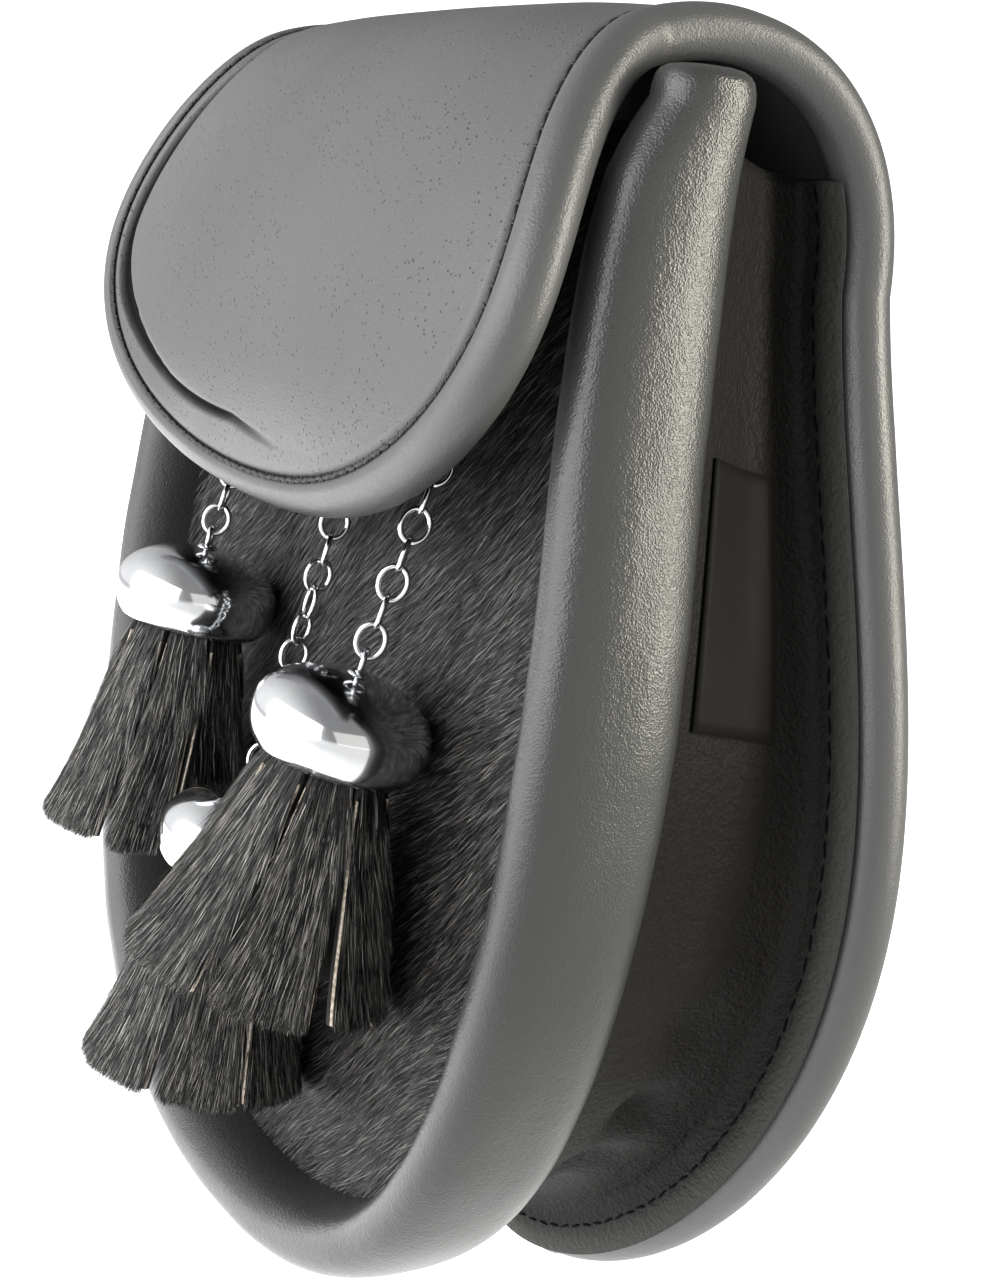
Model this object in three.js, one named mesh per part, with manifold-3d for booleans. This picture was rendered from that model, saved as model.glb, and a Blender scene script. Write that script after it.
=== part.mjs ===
// Sporran pouch: a leather pouch with a wrapped-over flap, a padded front frame round a fur panel,
// and three chain-hung tassels with domed caps. Millimetres, +Z up, the front faces -Y.
import * as THREE from 'three';
import { mergeVertices } from 'three/addons/utils/BufferGeometryUtils.js';
import Module from 'manifold-3d';

const wasm = await Module();
wasm.setup();

// Clearance between touching pieces.
const GAP = 0.3;

// The back and the flap are cut from one leather. Its length is measured from the fold line, where the
// back ends and the arch begins: minus is down the back, plus goes over the arch and down the flap.
const FOLD_HEIGHT = 63;
const BACK_DROP = 178;
const BACK_WIDEST = { drop: 85.3, half: 76.9 };
const ARCH = {
  start: [0, 63], rise: [0, 93.3], lean: [-22.1, 101.1], end: [-40.4, 95],
};
const FLAP = {
  start: [-40.4, 95], shoulder: [-59.5, 89.3], belly: [-73.4, 42.4], end: [-65.5, 25.6],
};
const FLAP_WAIST = { at: 62.2, half: 55.6 };
const FLAP_WIDEST = { at: 105.1, half: 68.7 };
const FLAP_LENGTH = 140.6;
const FOLD_HALF = 58.3;

// Thickness of the leather: the outer face lies above the middle of the edge roll, and the back is padded.
const SKIN_ABOVE_ROLL = 2.2;
const BACK_PADDING = 5;
const FLAP_LINING = 0.4;
const PAD_RAISE = 2;
const PAD_INSET = 8;
const PAD_SLOPE = 3;

// Radius of the padded edge roll, down the length of the leather.
const ROLL_RADII = [
  { at: -180, r: 4.8 }, { at: -20, r: 4.8 }, { at: 20, r: 4.2 }, { at: 45, r: 3.8 },
  { at: 85, r: 4.1 }, { at: 142, r: 4.1 },
];

// Front frame: a thick roll in a U, in a plane that leans back towards the top.
const FRAME_PLANE = { y: -49.53, slope: 0.0745, bow: 0.00017 };
const FRAME_TOP = { half: 66.3, z: 87 };
const FRAME_WIDEST = { half: 74.2, z: -2.7 };
const FRAME_BOTTOM = -97.2;
const FRAME_HALF_WIDTH = 5.9;
const FRAME_DEPTHS = [
  { z: -98, front: 12.4, rear: 12.4 }, { z: 0, front: 11.9, rear: 11.9 },
  { z: 50, front: 11, rear: 11.3 }, { z: 66, front: 10.3, rear: 11 },
  { z: 77, front: 8.4, rear: 10.8 }, { z: 82, front: 6.2, rear: 10.7 }, { z: 87, front: 3.4, rear: 10.6 },
];
const FRAME_CROWN = [
  { rise: 2, size: 0.95 }, { rise: 3.6, size: 0.78 }, { rise: 4.6, size: 0.5 },
];

// Fur-covered front panel inside the frame.
const PANEL_FACE = 0;
const PANEL_THICK = 2.5;
const PANEL_TOP = 84;

// Gusset: a leather wall that turns out into a flange, which is sewn to the back's roll.
const GUSSET_THICK = 1.4;
const GUSSET_TOP = 80;
const FLANGE_FACE = -6.5;
const GUSSET_SAG = 2.2;
const GUSSET_FOLD = 3.2;
const GUSSET_ROWS = 29;

const PATCH = { top: 39.5, bottom: 1.5, front: 0.17, rear: 0.78, thick: 0.5 };

// Belt loop on the back, and the slot that a belt goes through.
const LOOP = { width: 56, height: 46, thick: 2.2, slot: 5.2, foot: 9, z: 45 };

// Caps, tassels and chains, one row for each of the three drops: the middles of the cap and of the
// tassel's end, the radius that the tassel flares to, and the place of the chain's ring.
const DROPS = [
  {
    name: 'left', cap: [-30, -64.3, 0.1], tip: [-31, -71.5, -41.9], flare: 15.8, anchor: [-32, 45],
    turns: [0, 90, 8, 84, 0, 100, 30, 112, 40, 90],
  },
  {
    name: 'middle', cap: [0.5, -66.4, -34.4], tip: [-0.5, -72, -73.6], flare: 17, anchor: [0, 26],
    turns: [0, 90, -4, 84, 22, 60, 112, 30, 95, 10, 90, 0],
  },
  {
    name: 'right', cap: [30, -65.3, -7], tip: [25.3, -73.9, -46.5], flare: 19.2, anchor: [31, 40],
    turns: [0, 90, -3, 88, 4, 92, 0, 90, -5, 86, 0, 90],
  },
];
const CAP = { radius: 14, up: 8.6, down: 5.2, rim: 11.9, wall: 1, waist: 0.9 };
const EYE = { radius: 1.9, wire: 0.45, lift: 1.9 };
const LINK = { half: 2.55, side: 2.15, wire: 0.45, bite: 0.22, facing: 58 };
const HOOK = 0.75;
const PLATE = { width: 7, height: 7, thick: 1, post: 0.8, stand: 3 };
const STRIPS = 8;
const TASSEL = {
  head: 10.2, headTop: 3.5, headBottom: -6.7, start: -5.6, topRadius: 8.8,
  topWidth: 6.5, endWidth: 0.75, thick: 1.5, core: 0.62,
};

const lerp = THREE.MathUtils.lerp;

// Value of a column of a table of rows, between the rows by straight lines.
function tableValue(rows, key, column, at) {
  if (at <= rows[0][key]) return rows[0][column];
  for (let i = 1; i < rows.length; i += 1) {
    if (at <= rows[i][key]) {
      const share = (at - rows[i - 1][key]) / (rows[i][key] - rows[i - 1][key]);
      return lerp(rows[i - 1][column], rows[i][column], share);
    }
  }
  return rows[rows.length - 1][column];
}

const bezier = (a, b, c, d) => new THREE.CubicBezierCurve(
  new THREE.Vector2(...a), new THREE.Vector2(...b), new THREE.Vector2(...c), new THREE.Vector2(...d));

// Points of several curves in a row, with shared ends taken once.
function curvePoints(curves) {
  return curves.flatMap(({ curve, steps }, i) => curve.getPoints(steps).slice(i ? 1 : 0));
}

// Side profile of the arch and the flap, as points of (y, z).
const profile = curvePoints([
  { curve: bezier(ARCH.start, ARCH.rise, ARCH.lean, ARCH.end), steps: 60 },
  { curve: bezier(FLAP.start, FLAP.shoulder, FLAP.belly, FLAP.end), steps: 60 },
]);
const profileLength = [0];
for (let i = 1; i < profile.length; i += 1) {
  profileLength.push(profileLength[i - 1] + profile[i].distanceTo(profile[i - 1]));
}

// Place, direction and outward normal of the leather at a length along its middle line, in (y, z).
function alongLeather(at) {
  if (at <= 0) {
    return { y: 0, z: FOLD_HEIGHT + at, normal: new THREE.Vector2(1, 0) };
  }
  let i = 1;
  while (i < profile.length - 1 && profileLength[i] < at) i += 1;
  const share = (at - profileLength[i - 1]) / (profileLength[i] - profileLength[i - 1]);
  const point = profile[i - 1].clone().lerp(profile[i], share);
  const tangent = (k) => profile[Math.min(k + 1, profile.length - 1)].clone()
    .sub(profile[Math.max(k - 1, 0)]).normalize();
  const t = tangent(i - 1).lerp(tangent(i), Math.min(share, 1)).normalize();
  return { y: point.x, z: point.y, normal: new THREE.Vector2(t.y, -t.x) };
}

// A point of the leather: across is x, at is the length along it, and lift is the height over the roll.
function leatherPoint(across, at, lift) {
  const place = alongLeather(at);
  return new THREE.Vector3(across, place.y + place.normal.x * lift, place.z + place.normal.y * lift);
}

// Half outline of the leather as (length, half width), from the bottom of the back to the flap's end.
const leatherEdge = curvePoints([
  {
    curve: bezier([-BACK_DROP, 0], [-BACK_DROP, 26.4], [-138, BACK_WIDEST.half],
      [-BACK_WIDEST.drop, BACK_WIDEST.half]),
    steps: 11,
  },
  {
    curve: bezier([-BACK_WIDEST.drop, BACK_WIDEST.half], [-56.3, BACK_WIDEST.half], [-26.6, 62.8], [0, FOLD_HALF]),
    steps: 6,
  },
  {
    curve: bezier([0, FOLD_HALF], [21.8, 59.2], [43.5, FLAP_WAIST.half], [FLAP_WAIST.at, FLAP_WAIST.half]),
    steps: 9,
  },
  {
    curve: bezier([FLAP_WAIST.at, FLAP_WAIST.half], [83.2, 62.1], [93.7, FLAP_WIDEST.half],
      [FLAP_WIDEST.at, FLAP_WIDEST.half]),
    steps: 6,
  },
  {
    curve: bezier([FLAP_WIDEST.at, FLAP_WIDEST.half], [124, FLAP_WIDEST.half], [FLAP_LENGTH, 42.6],
      [FLAP_LENGTH, 0]),
    steps: 10,
  },
]);

// Outline moved inwards by its own normals, cut where it would cross the middle.
function inset(points, distance) {
  return points.map((p, i) => {
    const a = points[Math.max(i - 1, 0)];
    const b = points[Math.min(i + 1, points.length - 1)];
    const t = b.clone().sub(a).normalize();
    return new THREE.Vector2(p.x + t.y * distance, p.y - t.x * distance);
  });
}

function geometryFrom(positions, triangles) {
  const geometry = new THREE.BufferGeometry();
  geometry.setAttribute('position', new THREE.Float32BufferAttribute(positions, 3));
  geometry.setIndex(triangles);
  return outward(geometry);
}

// Faces turned to point outwards, told by the sign of the volume.
function outward(geometry) {
  const p = geometry.getAttribute('position');
  const index = geometry.getIndex().array;
  const [a, b, c] = [new THREE.Vector3(), new THREE.Vector3(), new THREE.Vector3()];
  let volume = 0;
  for (let i = 0; i < index.length; i += 3) {
    a.fromBufferAttribute(p, index[i]);
    b.fromBufferAttribute(p, index[i + 1]);
    c.fromBufferAttribute(p, index[i + 2]);
    volume += a.dot(b.cross(c));
  }
  if (volume < 0) {
    const turned = [];
    for (let i = 0; i < index.length; i += 3) turned.push(index[i], index[i + 2], index[i + 1]);
    geometry.setIndex(turned);
  }
  return geometry;
}

// Closed wall between two grids of points with equal rows and columns.
function shell(outer, inner) {
  const rows = outer.length;
  const columns = outer[0].length;
  const positions = [...outer, ...inner].flatMap((row) => row.flatMap((v) => [v.x, v.y, v.z]));
  const at = (side, r, c) => side * rows * columns + r * columns + c;
  const triangles = [];
  const quad = (a, b, c, d) => triangles.push(a, b, c, a, c, d);
  for (let r = 0; r < rows - 1; r += 1) {
    for (let c = 0; c < columns - 1; c += 1) {
      quad(at(0, r, c), at(0, r, c + 1), at(0, r + 1, c + 1), at(0, r + 1, c));
      quad(at(1, r, c), at(1, r + 1, c), at(1, r + 1, c + 1), at(1, r, c + 1));
    }
    quad(at(0, r, 0), at(0, r + 1, 0), at(1, r + 1, 0), at(1, r, 0));
    const last = columns - 1;
    quad(at(0, r, last), at(1, r, last), at(1, r + 1, last), at(0, r + 1, last));
  }
  for (let c = 0; c < columns - 1; c += 1) {
    quad(at(0, 0, c), at(1, 0, c), at(1, 0, c + 1), at(0, 0, c + 1));
    const last = rows - 1;
    quad(at(0, last, c), at(0, last, c + 1), at(1, last, c + 1), at(1, last, c));
  }
  return geometryFrom(positions, triangles);
}

// Closed body through rings of points: a loop, or a rod whose two ends are closed at their middles.
function rings(list, loop) {
  const sides = list[0].length;
  const positions = list.flatMap((ring) => ring.flatMap((v) => [v.x, v.y, v.z]));
  const triangles = [];
  const last = loop ? list.length : list.length - 1;
  for (let r = 0; r < last; r += 1) {
    const next = (r + 1) % list.length;
    for (let s = 0; s < sides; s += 1) {
      const t = (s + 1) % sides;
      triangles.push(r * sides + s, r * sides + t, next * sides + t);
      triangles.push(r * sides + s, next * sides + t, next * sides + s);
    }
  }
  if (!loop) {
    [0, list.length - 1].forEach((r) => {
      const middle = list[r].reduce((sum, v) => sum.add(v), new THREE.Vector3()).divideScalar(sides);
      const m = positions.length / 3;
      positions.push(middle.x, middle.y, middle.z);
      for (let s = 0; s < sides; s += 1) {
        const edge = [r * sides + s, r * sides + ((s + 1) % sides)];
        triangles.push(...(r === 0 ? [edge[1], edge[0], m] : [edge[0], edge[1], m]));
      }
    });
  }
  return geometryFrom(positions, triangles);
}

function solidOf(geometry) {
  const bare = geometry.clone();
  bare.deleteAttribute('normal');
  bare.deleteAttribute('uv');
  const merged = mergeVertices(bare, 1e-4);
  return new wasm.Manifold(new wasm.Mesh({
    numProp: 3,
    vertProperties: new Float32Array(merged.getAttribute('position').array),
    triVerts: new Uint32Array(merged.getIndex().array),
  }));
}

function geometryOf(solid) {
  const mesh = solid.getMesh();
  const geometry = new THREE.BufferGeometry();
  geometry.setAttribute('position', new THREE.BufferAttribute(new Float32Array(mesh.vertProperties), 3));
  geometry.setIndex(new THREE.BufferAttribute(new Uint32Array(mesh.triVerts), 1));
  return geometry;
}

// Several overlapping bodies joined into one.
function fuse(geometries) {
  return geometryOf(geometries.map(solidOf).reduce((sum, next) => sum.add(next)));
}

// Grid of the leather between two lengths: half width comes from an outline of (length, half width).
function leatherGrid(outline, columns, lift) {
  return outline.map((p) => Array.from({ length: columns + 1 }, (_, c) => {
    const across = p.y * ((2 * c) / columns - 1);
    return leatherPoint(across, p.x, lift(p.x));
  }));
}

// Outline rows without the ones at the two ends, where the width is too small for a grid.
const wideRows = (outline, least) => outline.filter((p) => p.y > least);

function backAndFlap() {
  const padding = (at) => -lerp(BACK_PADDING, FLAP_LINING, THREE.MathUtils.smoothstep(at, -15, 15));
  const rows = wideRows(leatherEdge, 9);
  const sheet = shell(leatherGrid(rows, 2, () => SKIN_ABOVE_ROLL), leatherGrid(rows, 2, padding));

  const padEdge = wideRows(inset(leatherEdge, PAD_INSET).filter((p) => p.x > 32), 6);
  const top = inset(leatherEdge, PAD_INSET + PAD_SLOPE).filter((p) => p.x > 32);
  const padTop = wideRows(top, 6).slice(-padEdge.length);
  const base = padEdge.slice(-padTop.length);
  const under = SKIN_ABOVE_ROLL - 1;
  const raised = (at) => lerp(under + 0.4, SKIN_ABOVE_ROLL + PAD_RAISE, THREE.MathUtils.smoothstep(at, 34, 62));
  const pad = shell(leatherGrid(padTop, 2, raised), leatherGrid(base, 2, () => under));

  const half = leatherEdge;
  const whole = [...half, ...half.slice(1, -1).reverse().map((p) => new THREE.Vector2(p.x, -p.y))];
  const sides = 8;
  const tube = whole.map((p, i) => {
    const a = whole[(i + whole.length - 1) % whole.length];
    const b = whole[(i + 1) % whole.length];
    const t = b.clone().sub(a).normalize();
    const r = tableValue(ROLL_RADII, 'at', 'r', p.x);
    return Array.from({ length: sides }, (_, s) => {
      const turn = (2 * Math.PI * (s + 0.5)) / sides;
      const side = Math.cos(turn) * r;
      return leatherPoint(p.y + t.x * side, p.x - t.y * side, Math.sin(turn) * r);
    });
  });
  return fuse([sheet, rings(tube, true), pad]);
}

const framePlane = (z) => FRAME_PLANE.y + FRAME_PLANE.slope * z + FRAME_PLANE.bow * z * z;

// Half outline of the frame's middle line as (x, z), from the top down to the bottom.
const frameEdge = curvePoints([
  {
    curve: bezier([FRAME_TOP.half, FRAME_TOP.z], [65, 60], [FRAME_WIDEST.half, 22.5],
      [FRAME_WIDEST.half, FRAME_WIDEST.z]),
    steps: 7,
  },
  {
    curve: bezier([FRAME_WIDEST.half, FRAME_WIDEST.z], [FRAME_WIDEST.half, -63.4], [52.4, FRAME_BOTTOM],
      [0, FRAME_BOTTOM]),
    steps: 11,
  },
]);

const mirrored = (half) => [...half, ...half.slice(0, -1).reverse().map((p) => new THREE.Vector2(-p.x, p.y))];

// Outward normals of an outline that runs from the top right, round the bottom, to the top left.
function outlineNormals(points) {
  return points.map((_, i) => {
    const a = points[Math.max(i - 1, 0)];
    const b = points[Math.min(i + 1, points.length - 1)];
    const t = b.clone().sub(a).normalize();
    return new THREE.Vector2(-t.y, t.x);
  });
}

// One section of the frame's roll: a rounded box in the outline's normal and the depth.
function frameRing(point, normal, size, rise) {
  const sides = 12;
  const z = Math.min(point.y, FRAME_TOP.z);
  const front = tableValue(FRAME_DEPTHS, 'z', 'front', z);
  const rear = tableValue(FRAME_DEPTHS, 'z', 'rear', z);
  const middle = new THREE.Vector3(point.x, framePlane(z) + (rear - front) / 2, point.y + rise);
  return Array.from({ length: sides }, (_, s) => {
    const turn = (2 * Math.PI * (s + 0.5)) / sides;
    const bulge = (v) => Math.sign(v) * Math.abs(v) ** 0.8;
    const w = bulge(Math.cos(turn)) * FRAME_HALF_WIDTH * size;
    const d = bulge(Math.sin(turn)) * ((front + rear) / 2) * size;
    return middle.clone().add(new THREE.Vector3(normal.x * w, -d, normal.y * w));
  });
}

function frontFrame() {
  const line = mirrored(frameEdge);
  const normals = outlineNormals(line);
  const body = line.map((p, i) => frameRing(p, normals[i], 1, 0));
  const crown = (i) => FRAME_CROWN.map(({ rise, size }) => frameRing(line[i], normals[i], size, rise));
  return rings([...crown(0).reverse(), ...body, ...crown(line.length - 1)], false);
}

function frontPanel() {
  const rows = inset(frameEdge, FRAME_HALF_WIDTH + 1.5 * GAP).filter((p) => p.y < PANEL_TOP && p.x > 8);
  const columns = 4;
  const grid = (depth) => rows.map((p) => Array.from({ length: columns + 1 }, (_, c) => {
    const x = p.x * ((2 * c) / columns - 1);
    return new THREE.Vector3(x, framePlane(p.y) - depth, p.y);
  }));
  return shell(grid(PANEL_FACE), grid(PANEL_FACE - PANEL_THICK));
}

// Points at equal shares of an outline's length.
function evenly(points, count) {
  const lengths = [0];
  for (let i = 1; i < points.length; i += 1) lengths.push(lengths[i - 1] + points[i].distanceTo(points[i - 1]));
  const total = lengths[lengths.length - 1];
  return Array.from({ length: count }, (_, k) => {
    const want = (total * k) / (count - 1);
    let i = 1;
    while (i < points.length - 1 && lengths[i] < want) i += 1;
    return points[i - 1].clone().lerp(points[i], (want - lengths[i - 1]) / (lengths[i] - lengths[i - 1]));
  });
}

// The gusset's outer face: rows run down one side, round the bottom and up, columns from front to flange.
function gussetRows() {
  const count = GUSSET_ROWS;
  const frontLine = mirrored(frameEdge.filter((p) => p.y < GUSSET_TOP + 2));
  const backHalf = leatherEdge.map((p) => new THREE.Vector2(p.y, FOLD_HEIGHT + p.x))
    .filter((p) => p.y < GUSSET_TOP).reverse();
  const backLine = mirrored(backHalf);
  const front = evenly(frontLine, count);
  const back = evenly(backLine, count);
  const frontNormals = outlineNormals(front);
  const backNormals = outlineNormals(back);
  return front.map((f, i) => {
    const b = back[i];
    const nf = frontNormals[i];
    const nb = backNormals[i];
    const rear = framePlane(f.y) + tableValue(FRAME_DEPTHS, 'z', 'rear', f.y) + 2 * GAP;
    const start = new THREE.Vector3(f.x - nf.x * 1.2, rear, f.y - nf.y * 1.2);
    const bend = alongLeather(b.y - FOLD_HEIGHT).y;
    const backPoint = (side, y) => new THREE.Vector3(b.x + nb.x * side, y + bend, b.y + nb.y * side);
    const crease = backPoint(-6.8, FLANGE_FACE - 1.8);
    const low = 1 - Math.abs((2 * i) / (count - 1) - 1);
    const bottomness = THREE.MathUtils.smoothstep(low, 0.55, 1);
    const sagged = (share, depth) => {
      const p = start.clone().lerp(crease, share);
      return p.sub(new THREE.Vector3(nb.x * depth, 0, nb.y * depth));
    };
    return [
      start,
      sagged(0.3, GUSSET_SAG * 0.7),
      sagged(0.62, GUSSET_SAG + GUSSET_FOLD * bottomness),
      crease,
      backPoint(-5.4, FLANGE_FACE),
      backPoint(-2.4, FLANGE_FACE),
      backPoint(0.6, FLANGE_FACE),
    ];
  });
}

// Unit normals of a grid of points, from its rows and columns.
function gridNormals(grid) {
  const pick = (r, c) => grid[THREE.MathUtils.clamp(r, 0, grid.length - 1)][
    THREE.MathUtils.clamp(c, 0, grid[0].length - 1)];
  return grid.map((row, r) => row.map((_, c) => {
    const along = pick(r + 1, c).clone().sub(pick(r - 1, c));
    const across = pick(r, c + 1).clone().sub(pick(r, c - 1));
    return along.cross(across).normalize();
  }));
}

const moved = (grid, normals, distance) => grid.map((row, r) => row.map((p, c) => (
  p.clone().addScaledVector(normals[r][c], distance))));

const gussetGrid = gussetRows();
const gussetNormals = gridNormals(gussetGrid);
const GUSSET_OUT = Math.sign(gussetNormals[3][1].x);

function gusset() {
  const inner = moved(gussetGrid, gussetNormals, -GUSSET_THICK * GUSSET_OUT);
  inner.forEach((row, r) => row.forEach((p, c) => {
    if (c >= row.length - 3) p.y = gussetGrid[r][c].y + GUSSET_THICK;
  }));
  return shell(gussetGrid, inner);
}

// Patch on the right wall of the gusset, between two heights and two shares of the wall's depth.
function gussetPatch() {
  const right = gussetGrid.slice(0, (GUSSET_ROWS + 1) / 2);
  const wall = (z, share, lift) => {
    let i = 1;
    while (i < right.length - 1 && right[i][1].z > z) i += 1;
    const t = (z - right[i - 1][1].z) / (right[i][1].z - right[i - 1][1].z);
    const row = right[i].map((p, c) => right[i - 1][c].clone().lerp(p, t));
    const normals = gussetNormals[i].map((n, c) => gussetNormals[i - 1][c].clone().lerp(n, t).normalize());
    const column = share * 3;
    const c = Math.min(Math.floor(column), 2);
    const normal = normals[c].clone().lerp(normals[c + 1], column - c).normalize();
    return row[c].clone().lerp(row[c + 1], column - c).addScaledVector(normal, lift * GUSSET_OUT);
  };
  const grid = (lift) => Array.from({ length: 8 }, (_, r) => Array.from({ length: 6 }, (__, c) => (
    wall(lerp(PATCH.top, PATCH.bottom, r / 7), lerp(PATCH.front, PATCH.rear, c / 5), lift))));
  return shell(grid(GAP + PATCH.thick), grid(GAP));
}

// Loop of strap leather on the back: two flat feet and a standing strap, cut from one side outline.
function beltLoop() {
  const { height, thick, slot, foot, width } = LOOP;
  const half = height / 2;
  const outline = new THREE.Shape([
    [0, -half], [thick, -half], [thick, -half + foot - 3], [slot + thick, -half + foot + 2],
    [slot + thick, half - foot - 2], [thick, half - foot + 3], [thick, half], [0, half],
    [0, half - foot], [slot, half - foot - 4.5], [slot, -half + foot + 4.5], [0, -half + foot],
  ].map(([y, z]) => new THREE.Vector2(y, z)));
  const strap = new THREE.ExtrudeGeometry(outline, { depth: width, bevelEnabled: false });
  strap.translate(0, 0, -width / 2);
  strap.applyMatrix4(new THREE.Matrix4().makeBasis(
    new THREE.Vector3(0, 1, 0), new THREE.Vector3(0, 0, 1), new THREE.Vector3(1, 0, 0)));
  strap.translate(0, SKIN_ABOVE_ROLL + GAP, LOOP.z);
  return strap;
}

// Turn that takes +Z to a direction.
const turnTo = (direction) => new THREE.Quaternion().setFromUnitVectors(
  new THREE.Vector3(0, 0, 1), direction.clone().normalize());

// Wire ring round a centre, long along a direction, turned about it by degrees.
function wireRing(centre, direction, degrees, halfLength, halfSide, wire) {
  const ring = new THREE.TorusGeometry(1, 0.2, 5, 10);
  const p = ring.getAttribute('position');
  for (let i = 0; i < p.count; i += 1) {
    const v = new THREE.Vector3().fromBufferAttribute(p, i);
    const angle = Math.atan2(v.y, v.x);
    const out = (Math.hypot(v.x, v.y) - 1) / 0.2;
    const up = v.z / 0.2;
    const side = Math.cos(angle) * (halfSide + out * wire);
    const length = Math.sin(angle) * (halfLength + out * wire);
    p.setXYZ(i, side, -up * wire, length);
  }
  const about = new THREE.Quaternion().setFromAxisAngle(
    new THREE.Vector3(0, 0, 1), THREE.MathUtils.degToRad(degrees));
  ring.applyQuaternion(about);
  ring.applyQuaternion(turnTo(direction));
  ring.translate(centre.x, centre.y, centre.z);
  return ring;
}

// Everything that places one drop: its cap, the eye on it, its chain's ring and the chain's direction.
function dropPlan(row) {
  const cap = new THREE.Vector3(...row.cap);
  const tip = new THREE.Vector3(...row.tip);
  const axis = cap.clone().sub(tip).normalize();
  const eye = cap.clone().addScaledVector(axis, CAP.up + EYE.lift);
  const [x, z] = row.anchor;
  const ring = new THREE.Vector3(x, framePlane(z) - PANEL_FACE - GAP - PLATE.thick - PLATE.stand, z);
  const run = ring.clone().sub(eye);
  const count = Math.round((run.length() - 2 * HOOK - 2 * LINK.half) / (2 * LINK.half - 0.9 + LINK.bite)) + 1;
  const pitch = (run.length() - 2 * HOOK - (2 * LINK.wire - LINK.bite)) / count;
  return { cap, tip, axis, eye, ring, up: run.normalize(), count, pitch };
}

function chain(row) {
  const { eye, up, count, pitch } = dropPlan(row);
  const halfLength = (pitch + 2 * LINK.wire - LINK.bite) / 2;
  const links = Array.from({ length: count }, (_, i) => {
    const centre = eye.clone().addScaledVector(up, HOOK + halfLength + i * pitch);
    const turn = row.turns[i % row.turns.length] + LINK.facing;
    return wireRing(centre, up, turn, halfLength, LINK.side, LINK.wire);
  });
  return fuse(links);
}

function chainAnchor(row) {
  const { ring, up, count } = dropPlan(row);
  const face = ring.y + PLATE.stand + PLATE.thick / 2;
  const plate = new THREE.BoxGeometry(PLATE.width, PLATE.thick, PLATE.height);
  const slope = Math.atan(FRAME_PLANE.slope + 2 * FRAME_PLANE.bow * ring.z);
  plate.rotateX(-slope);
  plate.translate(ring.x, face, ring.z + PLATE.thick);
  const turn = row.turns[(count - 1) % row.turns.length] + LINK.facing + 90;
  const staple = wireRing(ring, up, turn, EYE.radius, EYE.radius, EYE.wire + 0.1);
  const top = ring.clone().addScaledVector(up, EYE.radius);
  const post = new THREE.CylinderGeometry(PLATE.post, PLATE.post, face - top.y + 0.3, 8);
  post.translate(top.x, (face + top.y - 0.3) / 2, top.z);
  return fuse([plate, staple, post]);
}

// Domed cap, hollow under its rim, with a small eye on top.
function cap(row) {
  const { cap: centre, axis, eye } = dropPlan(row);
  const upper = Array.from({ length: 5 }, (_, i) => {
    const turn = (Math.PI / 2) * (i / 4);
    return new THREE.Vector2(CAP.radius * Math.sin(turn), CAP.waist + (CAP.up - CAP.waist) * Math.cos(turn));
  });
  const lower = [
    new THREE.Vector2(CAP.radius * 0.97, -2.6), new THREE.Vector2(CAP.rim, -CAP.down),
    new THREE.Vector2(CAP.rim - CAP.wall, -CAP.down), new THREE.Vector2(CAP.rim - 0.2, 1),
    new THREE.Vector2(8.5, 5), new THREE.Vector2(0, 6.2),
  ];
  const dome = new THREE.LatheGeometry([...upper, ...lower].reverse(), 14);
  dome.rotateX(Math.PI / 2);
  dome.applyQuaternion(turnTo(axis));
  dome.translate(centre.x, centre.y, centre.z);
  const base = new THREE.CylinderGeometry(1.3, 2.4, 1.4, 8);
  base.rotateX(Math.PI / 2);
  base.translate(0, 0, CAP.up - 0.1);
  base.applyQuaternion(turnTo(axis));
  base.translate(centre.x, centre.y, centre.z);
  const loop = wireRing(eye, axis, row.turns[0] + LINK.facing + 90, EYE.radius, EYE.radius, EYE.wire);
  return fuse([dome, base, loop]);
}

// A point of a drop pushed softly forward until it lies in front of the panel.
function beforePanel(v) {
  const face = framePlane(v.z) - PANEL_FACE - GAP - 1.2;
  const soft = 3.5;
  const over = v.y - (face - soft);
  if (over > 0) v.y = face - soft * Math.exp(-over / soft);
  return v;
}

// How the side drops give way to the middle one, which hangs in front of the panel between them.
function rested(v, row) {
  beforePanel(v);
  if (row.name === 'middle') return v;
  const middle = DROPS[1];
  const depth = THREE.MathUtils.smoothstep(-v.z, 8, 20);
  const near = 15.2 + THREE.MathUtils.clamp((-v.z - 40) * 0.25, 0, 6);
  const far = near + 7;
  const axisY = middle.cap[1] - 2;
  const flat = new THREE.Vector2(v.x - middle.cap[0], v.y - axisY);
  const distance = flat.length();
  if (distance < far) {
    const target = near + (distance / far) * (far - near);
    flat.multiplyScalar(lerp(1, target / distance, depth));
    v.x = middle.cap[0] + flat.x;
    v.y = axisY + flat.y;
  }
  return beforePanel(v);
}

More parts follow.
